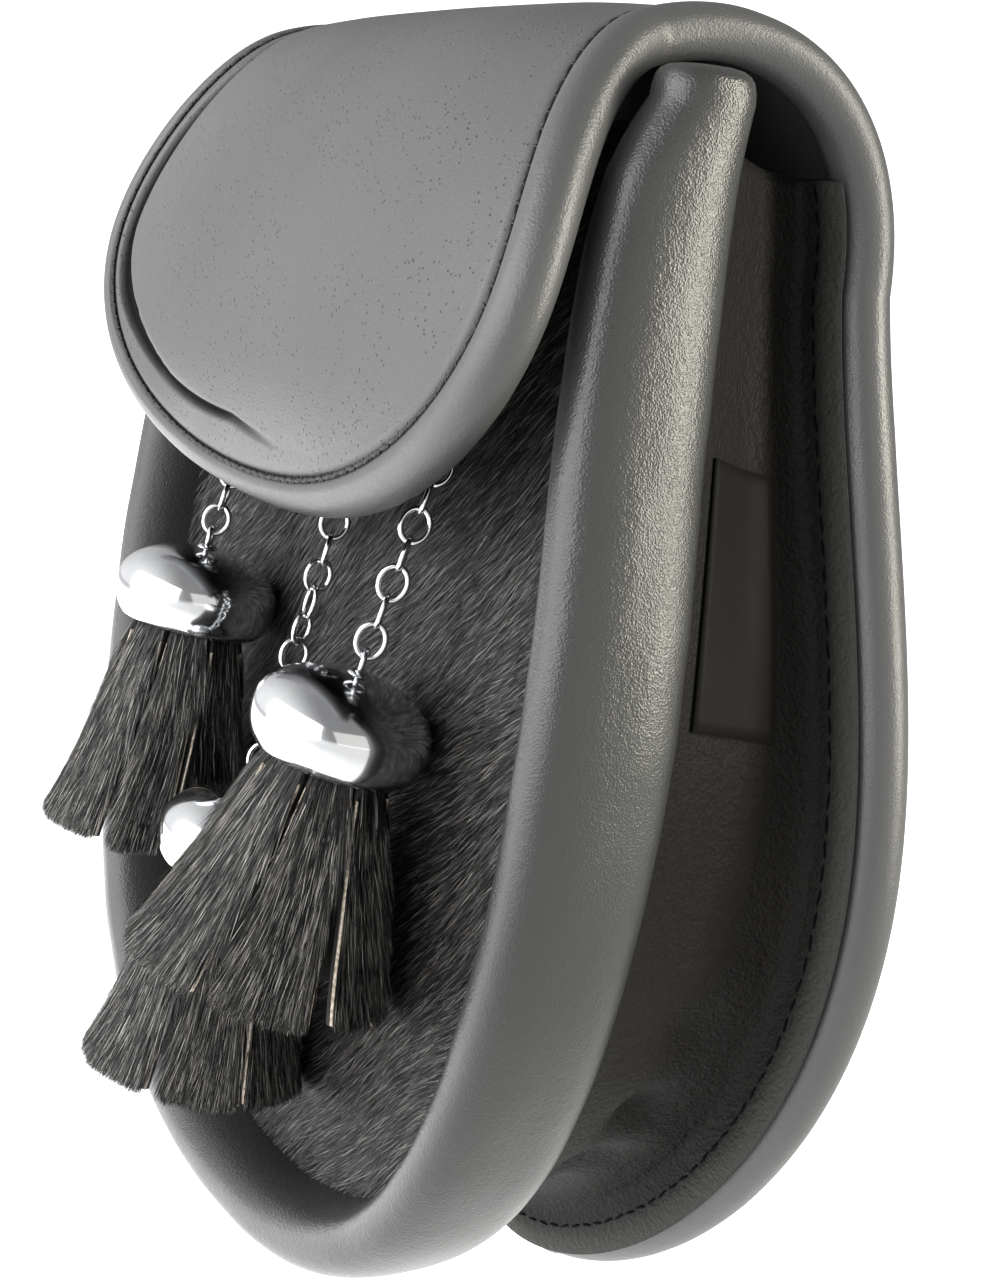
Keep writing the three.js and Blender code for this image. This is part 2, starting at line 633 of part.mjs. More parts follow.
function tassel(row) {
  const { cap: centre, tip, axis } = dropPlan(row);
  const turn = turnTo(axis);
  const length = centre.distanceTo(tip);
  const place = (v) => v.applyQuaternion(turn).add(centre);
  const head = new THREE.CylinderGeometry(TASSEL.head - 1.6, TASSEL.head, TASSEL.headTop - TASSEL.headBottom, 10);
  head.rotateX(Math.PI / 2);
  head.translate(0, 0, (TASSEL.headTop + TASSEL.headBottom) / 2);
  head.applyQuaternion(turn);
  head.translate(centre.x, centre.y, centre.z);

  const strip = (k) => {
    const angle = (2 * Math.PI * (k + 0.5)) / STRIPS;
    const out = new THREE.Vector3(Math.cos(angle), Math.sin(angle), 0);
    const side = new THREE.Vector3(-Math.sin(angle), Math.cos(angle), 0);
    const ends = k % 2 ? 0 : 1.2;
    const list = Array.from({ length: 4 }, (_, i) => {
      const share = i / 3;
      const z = lerp(TASSEL.start, -(length - ends), share);
      const radius = lerp(TASSEL.topRadius, row.flare, share ** 1.15);
      const width = lerp(TASSEL.topWidth, TASSEL.endWidth * row.flare, share) / 2;
      const thick = TASSEL.thick / 2;
      const layer = k % 2 ? 0 : 0.9 * share;
      return [[-width, -thick], [width, -thick], [width, thick], [0, thick * 1.8], [-width, thick]].map(([w, t]) => {
        const v = out.clone().multiplyScalar(radius + t + layer).addScaledVector(side, w);
        v.z = z;
        return rested(place(v), row);
      });
    });
    return rings(list, false);
  };
  const core = rings(Array.from({ length: 4 }, (_, i) => {
    const share = i / 3;
    const radius = lerp(TASSEL.topRadius - 0.5, row.flare * TASSEL.core, share);
    return Array.from({ length: 8 }, (__, s) => {
      const a = (2 * Math.PI * s) / 8;
      return rested(place(new THREE.Vector3(radius * Math.cos(a), radius * Math.sin(a),
        lerp(-6, -(length - 4), share))), row);
    });
  }), false);
  return fuse([head, core, ...Array.from({ length: STRIPS }, (_, k) => strip(k))]);
}

const finishes = {
  leather: { color: 0x3c3b39, roughness: 0.42, metalness: 0 },
  wall: { color: 0x1d1b19, roughness: 0.55, metalness: 0 },
  fur: { color: 0x17150f, roughness: 0.7, metalness: 0 },
  chrome: { color: 0xd8dadc, roughness: 0.08, metalness: 1 },
};

const pouch = new THREE.Group();

function addPiece(name, geometry, finish) {
  const mesh = new THREE.Mesh(geometry, new THREE.MeshStandardMaterial(finishes[finish]));
  mesh.name = name;
  pouch.add(mesh);
}

addPiece('back_flap', backAndFlap(), 'leather');
addPiece('front_frame', frontFrame(), 'leather');
addPiece('front_panel', frontPanel(), 'fur');
addPiece('gusset', gusset(), 'wall');
addPiece('gusset_patch', gussetPatch(), 'wall');
addPiece('belt_loop', beltLoop(), 'leather');
DROPS.forEach((row) => {
  addPiece(`chain_anchor_${row.name}`, chainAnchor(row), 'chrome');
  addPiece(`chain_${row.name}`, chain(row), 'chrome');
  addPiece(`cap_${row.name}`, cap(row), 'chrome');
  addPiece(`tassel_${row.name}`, tassel(row), 'fur');
});

// The origin is the middle of the belt loop's slot.
pouch.position.set(0, -(SKIN_ABOVE_ROLL + GAP + LOOP.slot / 2), -LOOP.z);

export default pouch;
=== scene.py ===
"""Sporran pouch: leather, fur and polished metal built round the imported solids."""

import logging
import math
from dataclasses import dataclass
from enum import Enum
from typing import Sequence

import bmesh
import bpy
import numpy as np
from mathutils import Matrix, Vector


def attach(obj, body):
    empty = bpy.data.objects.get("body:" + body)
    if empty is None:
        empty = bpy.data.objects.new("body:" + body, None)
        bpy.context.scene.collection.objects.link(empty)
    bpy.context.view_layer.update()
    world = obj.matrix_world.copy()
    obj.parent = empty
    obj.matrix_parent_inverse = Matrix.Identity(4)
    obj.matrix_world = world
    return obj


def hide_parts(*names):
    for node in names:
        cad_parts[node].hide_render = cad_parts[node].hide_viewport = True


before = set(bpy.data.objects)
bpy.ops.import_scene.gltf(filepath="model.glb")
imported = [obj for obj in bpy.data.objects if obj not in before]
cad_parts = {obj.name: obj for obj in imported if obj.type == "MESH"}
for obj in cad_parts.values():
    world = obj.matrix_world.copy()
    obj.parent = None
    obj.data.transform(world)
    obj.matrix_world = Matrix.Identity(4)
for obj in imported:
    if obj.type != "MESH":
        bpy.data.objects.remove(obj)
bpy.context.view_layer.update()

logging.basicConfig(level=logging.INFO, format="%(levelname)s %(message)s")
log = logging.getLogger("pouch")

MM = 0.001
ROW_SHIFT = np.array([0.0, -5.1, -45.0])
GAP = 0.3
SKIN = 2.2
FOLD_HEIGHT = 63.0
SEED = 20417

Array = np.ndarray
Mesh = bmesh.types.BMesh
Piece = bpy.types.Object
Material = bpy.types.Material
Socket = bpy.types.NodeSocket
Node = bpy.types.Node
Colour = tuple[float, float, float]
Point = tuple[float, float, float]
Pair = tuple[float, float]

# Painted shadow: black for the grooves and seam lines, and the metal share that takes the shine out of it.
PAINTED_SHADE_BLACK: Colour = (0.002, 0.002, 0.002)
PORE_BLACK: Colour = (0.004, 0.004, 0.004)
PAINTED_SHADE_DULLING = 0.93
HAIR_WIDTH: Pair = (0.1, 0.2)
# Row, column, height, width and depth of the dents in the right half of the side wall.
WALL_DENTS = (
    (0.332, 0.56, 0.013, 0.13, 2.6), (0.312, 0.42, 0.016, 0.22, -1.0), (0.29, 0.6, 0.014, 0.25, 0.9),
    (0.352, 0.7, 0.012, 0.2, -1.3), (0.372, 0.5, 0.013, 0.25, 1.2), (0.268, 0.5, 0.014, 0.3, -0.7),
    (0.395, 0.6, 0.014, 0.22, -0.9), (0.42, 0.4, 0.015, 0.25, 0.9),
)


class Slot(Enum):
    """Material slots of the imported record."""

    LEATHER = "leather"
    WALL = "gusset_leather"
    FUR = "fur"
    CHROME = "chrome"


def to_row(points: Array) -> Array:
    """Turn points of the pouch's own layout into the row frame.

    Args:
        points: Points in millimetres, any shape that ends in 3.

    Returns:
        The same points in metres, in the row frame.
    """
    return (points + ROW_SHIFT) * MM


def bezier(controls: Sequence[Pair], steps: int) -> Array:
    """Points of a cubic curve.

    Args:
        controls: Its four control points.
        steps: Number of stretches.

    Returns:
        An array of steps + 1 points.
    """
    t = np.linspace(0.0, 1.0, steps + 1)[:, None]
    a, b, c, d = (np.array(p, float) for p in controls)
    return (1 - t) ** 3 * a + 3 * (1 - t) ** 2 * t * b + 3 * (1 - t) * t**2 * c + t**3 * d


def joined(curves: Sequence[Array]) -> Array:
    """Put curves in a row, with their shared ends taken once.

    Args:
        curves: Arrays of points, each starting where the last one ends.

    Returns:
        One array of points.
    """
    return np.vstack([c if i == 0 else c[1:] for i, c in enumerate(curves)])


def evenly(points: Array, count: int) -> Array:
    """Points at equal shares of a line's length.

    Args:
        points: The line's points.
        count: How many points to give.

    Returns:
        The new points.
    """
    steps = np.linalg.norm(np.diff(points, axis=0), axis=1)
    run = np.concatenate([[0.0], np.cumsum(steps)])
    want = np.linspace(0.0, run[-1], count)
    return np.stack([np.interp(want, run, points[:, k]) for k in range(points.shape[1])], axis=1)


def both_sides(half: Array, count: int) -> Array:
    """A half outline and its mirror image as one even line.

    Args:
        half: Points (x, z), from the top down to x = 0.
        count: How many points to give.

    Returns:
        Points from the right top round to the left top.
    """
    return evenly(np.vstack([half, (half * [-1, 1])[-2::-1]]), count)


def looked_up(at: Array, table: Sequence[Sequence[float]], column: int = 1) -> Array:
    """Values of a table between its rows.

    Args:
        at: Places in the table's first column.
        table: Rows in rising order.
        column: Which column to read.

    Returns:
        A value for each place.
    """
    rows = np.array(table, float)
    return np.interp(at, rows[:, 0], rows[:, column])


def smoothstep(x: Array, low: float, high: float) -> Array:
    """Smooth rise from 0 to 1.

    Args:
        x: Values.
        low: Where it is 0.
        high: Where it is 1; below low, the rise runs the other way.

    Returns:
        A share for each value.
    """
    t = np.clip((np.asarray(x, float) - low) / (high - low), 0.0, 1.0)
    return t * t * (3 - 2 * t)


def unit(vectors: Array) -> Array:
    """Bring vectors to length 1.

    Args:
        vectors: Any array whose last axis holds the vectors.

    Returns:
        The vectors at length 1.
    """
    return vectors / np.maximum(np.linalg.norm(vectors, axis=-1, keepdims=True), 1e-12)


def sideways(line: Array) -> Array:
    """Unit directions across a flat line, to its left.

    Args:
        line: Points in two dimensions.

    Returns:
        A direction for each point.
    """
    along = unit(np.gradient(line, axis=0))
    return np.stack([-along[:, 1], along[:, 0]], axis=1)


def turn_to(direction: Array) -> Array:
    """Matrix of the least turn that takes +Z to a direction.

    Args:
        direction: A unit vector.

    Returns:
        A 3 by 3 matrix.
    """
    turn = Vector((0.0, 0.0, 1.0)).rotation_difference(Vector(direction))
    return np.array(turn.to_matrix())


def soft_noise(x: Array, y: Array, seed: int) -> Array:
    """Smooth uneven waves over a surface.

    Args:
        x: First coordinate, in waves.
        y: Second coordinate, in waves.
        seed: Which waves.

    Returns:
        Values of about -1 to 1.
    """
    rng = np.random.default_rng(seed)
    total = np.zeros(np.broadcast(x, y).shape)
    for _ in range(7):
        ax, ay, phase = rng.uniform(-1.4, 1.4), rng.uniform(-1.4, 1.4), rng.uniform(0, 6.28)
        total += np.sin(6.28 * (ax * x + ay * y) + phase)
    return total / 4.0


def linked(name: str, mesh: bpy.types.Mesh) -> Piece:
    """Make a mesh an object at the origin.

    Args:
        name: Name of the piece.
        mesh: Its mesh.

    Returns:
        The new object.
    """
    piece = bpy.data.objects.new(name, mesh)
    bpy.context.scene.collection.objects.link(piece)
    return piece


def pour(source: Mesh, whole: Mesh) -> None:
    """Move one bmesh into another.

    Args:
        source: The bmesh to move, which is freed.
        whole: The bmesh that takes it.
    """
    mesh = bpy.data.meshes.new("poured")
    source.to_mesh(mesh)
    source.free()
    whole.from_mesh(mesh)
    bpy.data.meshes.remove(mesh)


def finish_mesh(bm: Mesh, name: str, merge: float = 2e-6) -> Piece:
    """Close, orient and smooth a bmesh and make it an object at the origin.

    Args:
        bm: The bmesh, which is freed.
        name: Name of the piece.
        merge: Distance under which points become one.

    Returns:
        The new object.
    """
    bmesh.ops.remove_doubles(bm, verts=bm.verts, dist=merge)
    bmesh.ops.recalc_face_normals(bm, faces=bm.faces)
    for face in bm.faces:
        face.smooth = True
    mesh = bpy.data.meshes.new(name)
    bm.to_mesh(mesh)
    bm.free()
    return linked(name, mesh)


def loft(name: str, rows: Array, closed: bool = True, merge: float = 2e-6,
         masks: dict[str, Array] | None = None) -> Piece:
    """Surface through rows of points, from a grid whose points are moved.

    Args:
        name: Name of the piece.
        rows: Array of rows by columns by 3, in metres.
        closed: Whether each row is a loop.
        merge: Distance under which points become one.
        masks: Values by name, rows by columns, kept as attributes.

    Returns:
        The new object.
    """
    columns = rows.shape[1] + (1 if closed else 0)
    count = rows.shape[0]
    bm = bmesh.new()
    layers = {key: bm.verts.layers.float.new(key) for key in (masks or {})}
    bmesh.ops.create_grid(bm, x_segments=columns - 1, y_segments=count - 1, size=0.5)
    for vert in bm.verts:
        c = round((vert.co.x + 0.5) * (columns - 1)) % rows.shape[1]
        r = round((vert.co.y + 0.5) * (count - 1))
        vert.co = Vector(rows[r, c])
        for key, layer in layers.items():
            vert[layer] = float(masks[key][r, c])
    return finish_mesh(bm, name, merge)


def wall_rows(outer: Array, inner: Array) -> Array:
    """Loops round a thin wall, pinched shut at its first and last rows.

    Args:
        outer: Rows by columns by 3 of the outer face.
        inner: The same of the inner face.

    Returns:
        Rows of loops for loft.
    """
    loops = np.concatenate([outer, inner[:, ::-1]], axis=1)
    middle = (outer + inner) / 2
    ends = np.concatenate([middle, middle[:, ::-1]], axis=1)
    return np.concatenate([ends[:1], loops, ends[-1:]], axis=0)


def surface_normals(grid: Array) -> Array:
    """Unit normals of a grid of points.

    Args:
        grid: Rows by columns by 3.

    Returns:
        A normal for each point.
    """
    along = np.gradient(grid, axis=0)
    across = np.gradient(grid, axis=1)
    return unit(np.cross(along, across))


def shape_arrays(bm: Mesh) -> tuple[Array, list[list[int]]]:
    """Points and faces of a bmesh.

    Args:
        bm: The bmesh, which is freed.

    Returns:
        Its points, and the indices of each face's points.
    """
    points = np.array([v.co for v in bm.verts], float)
    faces = [[v.index for v in f.verts] for f in bm.faces]
    bm.free()
    return points, faces


def scatter(name: str, bm: Mesh, places: Sequence[Matrix]) -> Piece:
    """Many copies of one small shape joined in one mesh.

    Args:
        name: Name of the piece.
        bm: The shape, in metres.
        places: Where each copy goes.

    Returns:
        The new object.
    """
    bm.verts.index_update()
    points, faces = shape_arrays(bm)
    homogeneous = np.concatenate([points, np.ones((len(points), 1))], axis=1)
    stack = [homogeneous @ np.array(m).T[:, :3] for m in places]
    lists = [[i + k * len(points) for i in f] for k in range(len(places)) for f in faces]
    mesh = bpy.data.meshes.new(name)
    mesh.from_pydata(np.concatenate(stack).tolist(), [], lists)
    mesh.shade_smooth()
    return linked(name, mesh)


def strands(
    name: str,
    root: Array,
    way: Array,
    normal: Array,
    length: Array,
    width: Array,
    lift: Array,
    tone_and_glint: Array,
) -> Piece:
    """Tapered hairs joined in one mesh, with a tone for each, whose few high values are painted glints.

    Args:
        name: Name of the piece.
        root: Root points, in metres.
        way: Unit directions that the hairs run in.
        normal: Unit normals of the hide.
        length: Length of each hair.
        width: Width of each hair at its root.
        lift: Height of each hair's tip over the hide.
        tone_and_glint: Tone of each hair, 0 to 1; the few high ones are painted glints.

    Returns:
        The new object.
    """
    side = unit(np.cross(way, normal)) * width[:, None] / 2
    middle = root + way * (length * 0.55)[:, None] + normal * (lift * 0.7)[:, None]
    tip = root + way * length[:, None] + normal * lift[:, None]
    points = np.stack([root - side, root + side, middle + side * 0.85, middle - side * 0.85, tip], axis=1)
    base = np.arange(len(root))[:, None] * 5
    quads = (base + np.array([[0, 1, 2, 3]])).tolist()
    tips = (base + np.array([[3, 2, 4]])).tolist()
    mesh = bpy.data.meshes.new(name)
    mesh.from_pydata(points.reshape(-1, 3).tolist(), [], quads + tips)
    tone = mesh.attributes.new("tone_and_glint", "FLOAT", "POINT")
    tone.data.foreach_set("value", np.repeat(tone_and_glint, 5).astype(np.float32))
    along = mesh.attributes.new("along", "FLOAT", "POINT")
    along.data.foreach_set("value", np.tile([0, 0, 0.55, 0.55, 1.0], len(root)).astype(np.float32))
    mesh.shade_smooth()
    return linked(name, mesh)


def settle(piece: Piece, finish: Material, slot: Slot, *nodes: str) -> Piece:
    """Dress a piece and let it ride on the body.

    Args:
        piece: The piece.
        finish: Its material.
        slot: Not used.
        nodes: CAD nodes that it stands for.

    Returns:
        The same piece.
    """
    piece.data.materials.clear()
    piece.data.materials.append(finish)
    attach(piece, "root")
    if nodes:
        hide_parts(*nodes)
    log.info("%s: %d faces", piece.name, len(piece.data.polygons))
    return piece


class Shader:
    """Short calls that build one material's or one group's nodes."""

    def __init__(self, tree: bpy.types.NodeTree) -> None:
        """Keep the tree that the nodes go into.

        Args:
            tree: The tree.
        """
        self.tree = tree

    def add(self, kind: str, **values: object) -> Node:
        """Add a node and set its properties.

        Args:
            kind: Node type.
            values: Properties by name.

        Returns:
            The node.
        """
        node = self.tree.nodes.new(kind)
        for key, value in values.items():
            setattr(node, key, value)
        return node

    def link(self, source: Socket, target: Socket) -> None:
        """Join two sockets.

        Args:
            source: The output.
            target: The input.
        """
        self.tree.links.new(source, target)

    def math(self, operation: str, a: object, b: object = 0.0, clamp: bool = False) -> Socket:
        """Math node on two sockets or numbers.

        Args:
            operation: What it does.
            a: First value or socket.
            b: Second value or socket.
            clamp: Whether the result stays from 0 to 1.

        Returns:
            The result's socket.
        """
        node = self.add("ShaderNodeMath", operation=operation, use_clamp=clamp)
        for index, value in enumerate((a, b)):
            if isinstance(value, Socket):
                self.link(value, node.inputs[index])
            else:
                node.inputs[index].default_value = float(value)
        return node.outputs[0]

    def span(self, value: Socket, low: float, high: float, a: float, b: float) -> Socket:
        """Map one span smoothly to another.

        Args:
            value: The value's socket.
            low: Value that gives a.
            high: Value that gives b.
            a: Result at low.
            b: Result at high.

        Returns:
            The result's socket.
        """
        node = self.add("ShaderNodeMapRange", interpolation_type="SMOOTHSTEP")
        self.link(value, node.inputs["Value"])
        for key, number in (("From Min", low), ("From Max", high), ("To Min", a), ("To Max", b)):
            node.inputs[key].default_value = number
        return node.outputs["Result"]

    def noise(self, vector: Socket, scale: float, detail: float = 3.0) -> Socket:
        """Noise as a value.

        Args:
            vector: The place's socket.
            scale: How fine it is.
            detail: Number of finer layers.

        Returns:
            The value's socket.
        """
        node = self.add("ShaderNodeTexNoise")
        self.link(vector, node.inputs["Vector"])
        node.inputs["Scale"].default_value = scale
        node.inputs["Detail"].default_value = detail
        return node.outputs["Fac"]

    def blend(self, factor: Socket, a: Colour, b: Colour) -> Socket:
        """Colour between two plain colours.

        Args:
            factor: Share of the second one.
            a: The first colour.
            b: The second colour.

        Returns:
            The colour's socket.
        """
        node = self.add("ShaderNodeMix", data_type="RGBA")
        self.link(factor, node.inputs[0])
        node.inputs[6].default_value = (*a, 1.0)
        node.inputs[7].default_value = (*b, 1.0)
        return node.outputs[2]

    def tint(self, factor: Socket, colour: Socket, other: Colour) -> Socket:
        """Blend a colour towards a plain one.

        Args:
            factor: Mask of the plain colour.
            colour: The colour's socket.
            other: The plain colour.

        Returns:
            The blended colour's socket.
        """
        node = self.add("ShaderNodeMix", data_type="RGBA")
        self.link(factor, node.inputs[0])
        self.link(colour, node.inputs[6])
        node.inputs[7].default_value = (*other, 1.0)
        return node.outputs[2]

    def mask(self, name: str) -> Socket:
        """Value of the mesh's own attribute.

        Args:
            name: The attribute.

        Returns:
            The value's socket.
        """
        return self.add("ShaderNodeAttribute", attribute_name=name).outputs["Fac"]

    def place(self) -> Socket:
        """Place on the object.

        Returns:
            The place's socket.
        """
        return self.add("ShaderNodeTexCoord").outputs["Object"]

    def bump(self, height: Socket, distance: float) -> Socket:
        """Normal from a height.

        Args:
            height: The height's socket.
            distance: How far a height of 1 stands out, in metres.

        Returns:
            The normal's socket.
        """
        node = self.add("ShaderNodeBump")
        self.link(height, node.inputs["Height"])
        node.inputs["Distance"].default_value = distance
        return node.outputs["Normal"]


def new_material(name: str) -> tuple[Material, Shader, Node]:
    """Start a material.

    Args:
        name: Its name.

    Returns:
        The material, its shader helper and its Principled node.
    """
    material = bpy.data.materials.new(name)
    material.use_nodes = True
    shader = Shader(material.node_tree)
    return material, shader, material.node_tree.nodes["Principled BSDF"]


def grain_group() -> bpy.types.NodeTree:
    """Leather grain as a node group, built once.

    Returns:
        The group, which gives a height, a tone and a pore mask.
    """
    found = bpy.data.node_groups.get("leather_grain")
    if found:
        return found
    group = bpy.data.node_groups.new("leather_grain", "ShaderNodeTree")
    sockets = group.interface
    sockets.new_socket("Place", in_out="INPUT", socket_type="NodeSocketVector")
    for name, value in (("Pebble Scale", 900.0), ("Pore Scale", 420.0), ("Pore Depth", 0.5), ("Crease", 0.4)):
        sockets.new_socket(name, in_out="INPUT", socket_type="NodeSocketFloat").default_value = value
    for name in ("Height", "Tone", "Pores"):
        sockets.new_socket(name, in_out="OUTPUT", socket_type="NodeSocketFloat")
    s = Shader(group)
    taken = s.add("NodeGroupInput")
    given = s.add("NodeGroupOutput")
    place = taken.outputs["Place"]
    pebble = s.add("ShaderNodeTexVoronoi", feature="SMOOTH_F1")
    s.link(place, pebble.inputs["Vector"])
    s.link(taken.outputs["Pebble Scale"], pebble.inputs["Scale"])
    pebble.inputs["Smoothness"].default_value = 0.6
    pores = s.add("ShaderNodeTexVoronoi")
    s.link(place, pores.inputs["Vector"])
    s.link(taken.outputs["Pore Scale"], pores.inputs["Scale"])
    hole = s.span(pores.outputs["Distance"], 0.06, 0.22, 1.0, 0.0)
    patchy = s.span(s.noise(place, 90.0, 2.0), 0.36, 0.54, 0.0, 1.0)
    hole = s.math("MULTIPLY", hole, patchy)
    creases = s.add("ShaderNodeTexNoise")
    s.link(place, creases.inputs["Vector"])
    creases.inputs["Scale"].default_value = 620.0
    creases.inputs["Detail"].default_value = 5.0
    creases.inputs["Distortion"].default_value = 0.6
    height = s.math("MULTIPLY", pebble.outputs["Distance"], 0.35)
    fold = s.math("MULTIPLY", creases.outputs["Fac"], taken.outputs["Crease"])
    height = s.math("ADD", height, fold)
    height = s.math("SUBTRACT", height, s.math("MULTIPLY", hole, taken.outputs["Pore Depth"]))
    s.link(height, given.inputs["Height"])
    tone = s.math("ADD", s.noise(place, 24.0, 3.0), s.math("MULTIPLY", s.noise(place, 1500.0, 2.0), 0.35))
    s.link(s.math("SUBTRACT", tone, 0.18, True), given.inputs["Tone"])
    s.link(hole, given.inputs["Pores"])
    return group


@dataclass(frozen=True)
class LeatherFinish:
    """Black leather with a soft shine, pores and fine grain.

    A seamed leather reads the masks field and groove_and_shade of its mesh, and a rimmed one reads rim and
    groove_and_shade.
    The grooves and seam lines are painted shadow: black metal, because black leather would still shine in them. The
    rim of a rimmed leather is painted lighter, as painted light.
    """

    name: str
    dark: Colour
    light: Colour
    rough: Pair = (0.36, 0.46)
    pebble: float = 3200.0
    pore: float = 900.0
    pore_depth: float = 0.0
    crease: float = 0.5
    relief: float = 0.00008
    specular: float = 0.5
    pore_shade: float = 0.4
    groove_shade: float = 0.92
    groove_rough: float = 0.4
    seamed: bool = False
    rimmed: bool = False
    # Painted light: the lighter colour of the flange rim of a rimmed leather.
    rim_painted_light: Colour = (0.042, 0.041, 0.0385)

    def material(self) -> Material:
        """Build the material.

        Returns:
            The material.
        """
        made, s, principled = new_material(self.name)
        place = s.place()
        grain = s.add("ShaderNodeGroup", node_tree=grain_group())
        s.link(place, grain.inputs["Place"])
        values = (self.pebble, self.pore, self.pore_depth, self.crease)
        for key, value in zip(("Pebble Scale", "Pore Scale", "Pore Depth", "Crease"), values):
            grain.inputs[key].default_value = value
        colour = s.blend(grain.outputs["Tone"], self.dark, self.light)
        rough = s.span(grain.outputs["Tone"], 0.2, 0.8, self.rough[1], self.rough[0])
        if self.seamed:
            field, groove_and_shade = s.mask("field"), s.mask("groove_and_shade")
            s.link(s.math("MULTIPLY", field, self.pore_depth), grain.inputs["Pore Depth"])
            # Painted shadow: the grooves and the seam line are painted black and dulled with metal.
            colour = s.tint(s.math("MULTIPLY", groove_and_shade, self.groove_shade), colour, PAINTED_SHADE_BLACK)
            rough = s.math("ADD", rough, s.math("MULTIPLY", groove_and_shade, self.groove_rough), True)
            hollow = s.math("MULTIPLY", s.math("MULTIPLY", grain.outputs["Pores"], field), self.pore_shade)
            shade_and_pore_dulling = s.math("MAXIMUM", s.math("MULTIPLY", groove_and_shade, PAINTED_SHADE_DULLING), hollow)
            s.link(shade_and_pore_dulling, principled.inputs["Metallic"])
            colour = s.tint(hollow, colour, PORE_BLACK)
        if self.rimmed:
            # Painted light on the flange rim, and painted shadow along the crease, black and dulled with metal.
            rim, groove_and_shade = s.mask("rim"), s.mask("groove_and_shade")
            colour = s.tint(groove_and_shade, s.tint(rim, colour, self.rim_painted_light), PAINTED_SHADE_BLACK)
            s.link(s.math("MULTIPLY", groove_and_shade, PAINTED_SHADE_DULLING), principled.inputs["Metallic"])
        s.link(colour, principled.inputs["Base Color"])
        s.link(rough, principled.inputs["Roughness"])
        s.link(s.bump(grain.outputs["Height"], self.relief), principled.inputs["Normal"])
        principled.inputs["Specular IOR Level"].default_value = self.specular
        return made


@dataclass(frozen=True)
class FurFinish:
    """Short glossy hair, each strand with its own tone; the few light strands are painted glints, brighter towards the
    tip, and each hair is darkened towards its root as painted shadow.
    """

    name: str
    dark: Colour = (0.006, 0.0055, 0.005)
    light: Colour = (0.2, 0.19, 0.18)
    rough: float = 0.34
    specular: float = 0.22

    def material(self) -> Material:
        """Build the material.

        Returns:
            The material.
        """
        made, s, principled = new_material(self.name)
        tone = s.mask("tone_and_glint")
        along = s.mask("along")
        # Painted shadow towards each hair's root, and the painted glints brightest towards the tips.
        glint_with_root_shade = s.math("MULTIPLY", tone, s.span(along, 0.0, 0.9, 0.35, 1.0))
        s.link(s.blend(glint_with_root_shade, self.dark, self.light), principled.inputs["Base Color"])
        s.link(s.span(tone, 0.0, 1.0, self.rough + 0.12, self.rough - 0.06), principled.inputs["Roughness"])
        principled.inputs["Specular IOR Level"].default_value = self.specular
        return made


@dataclass(frozen=True)
class HideFinish:
    """Skin under the hair, or its raw cut edge."""

    name: str
    dark: Colour
    light: Colour
    scale: float = 700.0

    def material(self) -> Material:
        """Build the material.

        Returns:
            The material.
        """
        made, s, principled = new_material(self.name)
        place = s.place()
        tone = s.noise(place, self.scale, 4.0)
        s.link(s.blend(s.span(tone, 0.35, 0.65, 0.0, 1.0), self.dark, self.light), principled.inputs["Base Color"])
        s.link(s.span(tone, 0.3, 0.7, 0.7, 0.9), principled.inputs["Roughness"])
        s.link(s.bump(tone, 0.0003), principled.inputs["Normal"])
        return made


@dataclass(frozen=True)
class ChromeFinish:
    """Polished plated metal with faint smudges."""

    name: str
    colour: Colour = (0.7, 0.71, 0.72)
    tinted: Colour = (0.62, 0.63, 0.66)

    def material(self) -> Material:
        """Build the material.

        Returns:
            The material.
        """
        made, s, principled = new_material(self.name)
        place = s.place()
        smudge = s.noise(place, 160.0, 3.0)
        s.link(s.blend(s.span(smudge, 0.4, 0.7, 0.0, 1.0), self.colour, self.tinted), principled.inputs["Base Color"])
        s.link(s.span(smudge, 0.35, 0.75, 0.09, 0.17), principled.inputs["Roughness"])
        s.link(s.bump(s.noise(place, 90.0, 1.0), 0.00012), principled.inputs["Normal"])
        principled.inputs["Metallic"].default_value = 1.0
        return made


@dataclass(frozen=True)
class ThreadFinish:
    """Waxed twisted thread."""

    name: str
    dark: Colour = (0.004, 0.003, 0.005)
    light: Colour = (0.02, 0.016, 0.02)
    specular: float = 0.5

    def material(self) -> Material:
        """Build the material.

        Returns:
            The material.
        """
        made, s, principled = new_material(self.name)
        place = s.place()
        twist = s.noise(place, 2600.0, 2.0)
        s.link(s.blend(s.span(twist, 0.4, 0.6, 0.0, 1.0), self.dark, self.light), principled.inputs["Base Color"])
        s.link(s.span(twist, 0.3, 0.7, 0.5, 0.75), principled.inputs["Roughness"])
        s.link(s.bump(twist, 0.0001), principled.inputs["Normal"])
        principled.inputs["Specular IOR Level"].default_value = self.specular
        return made


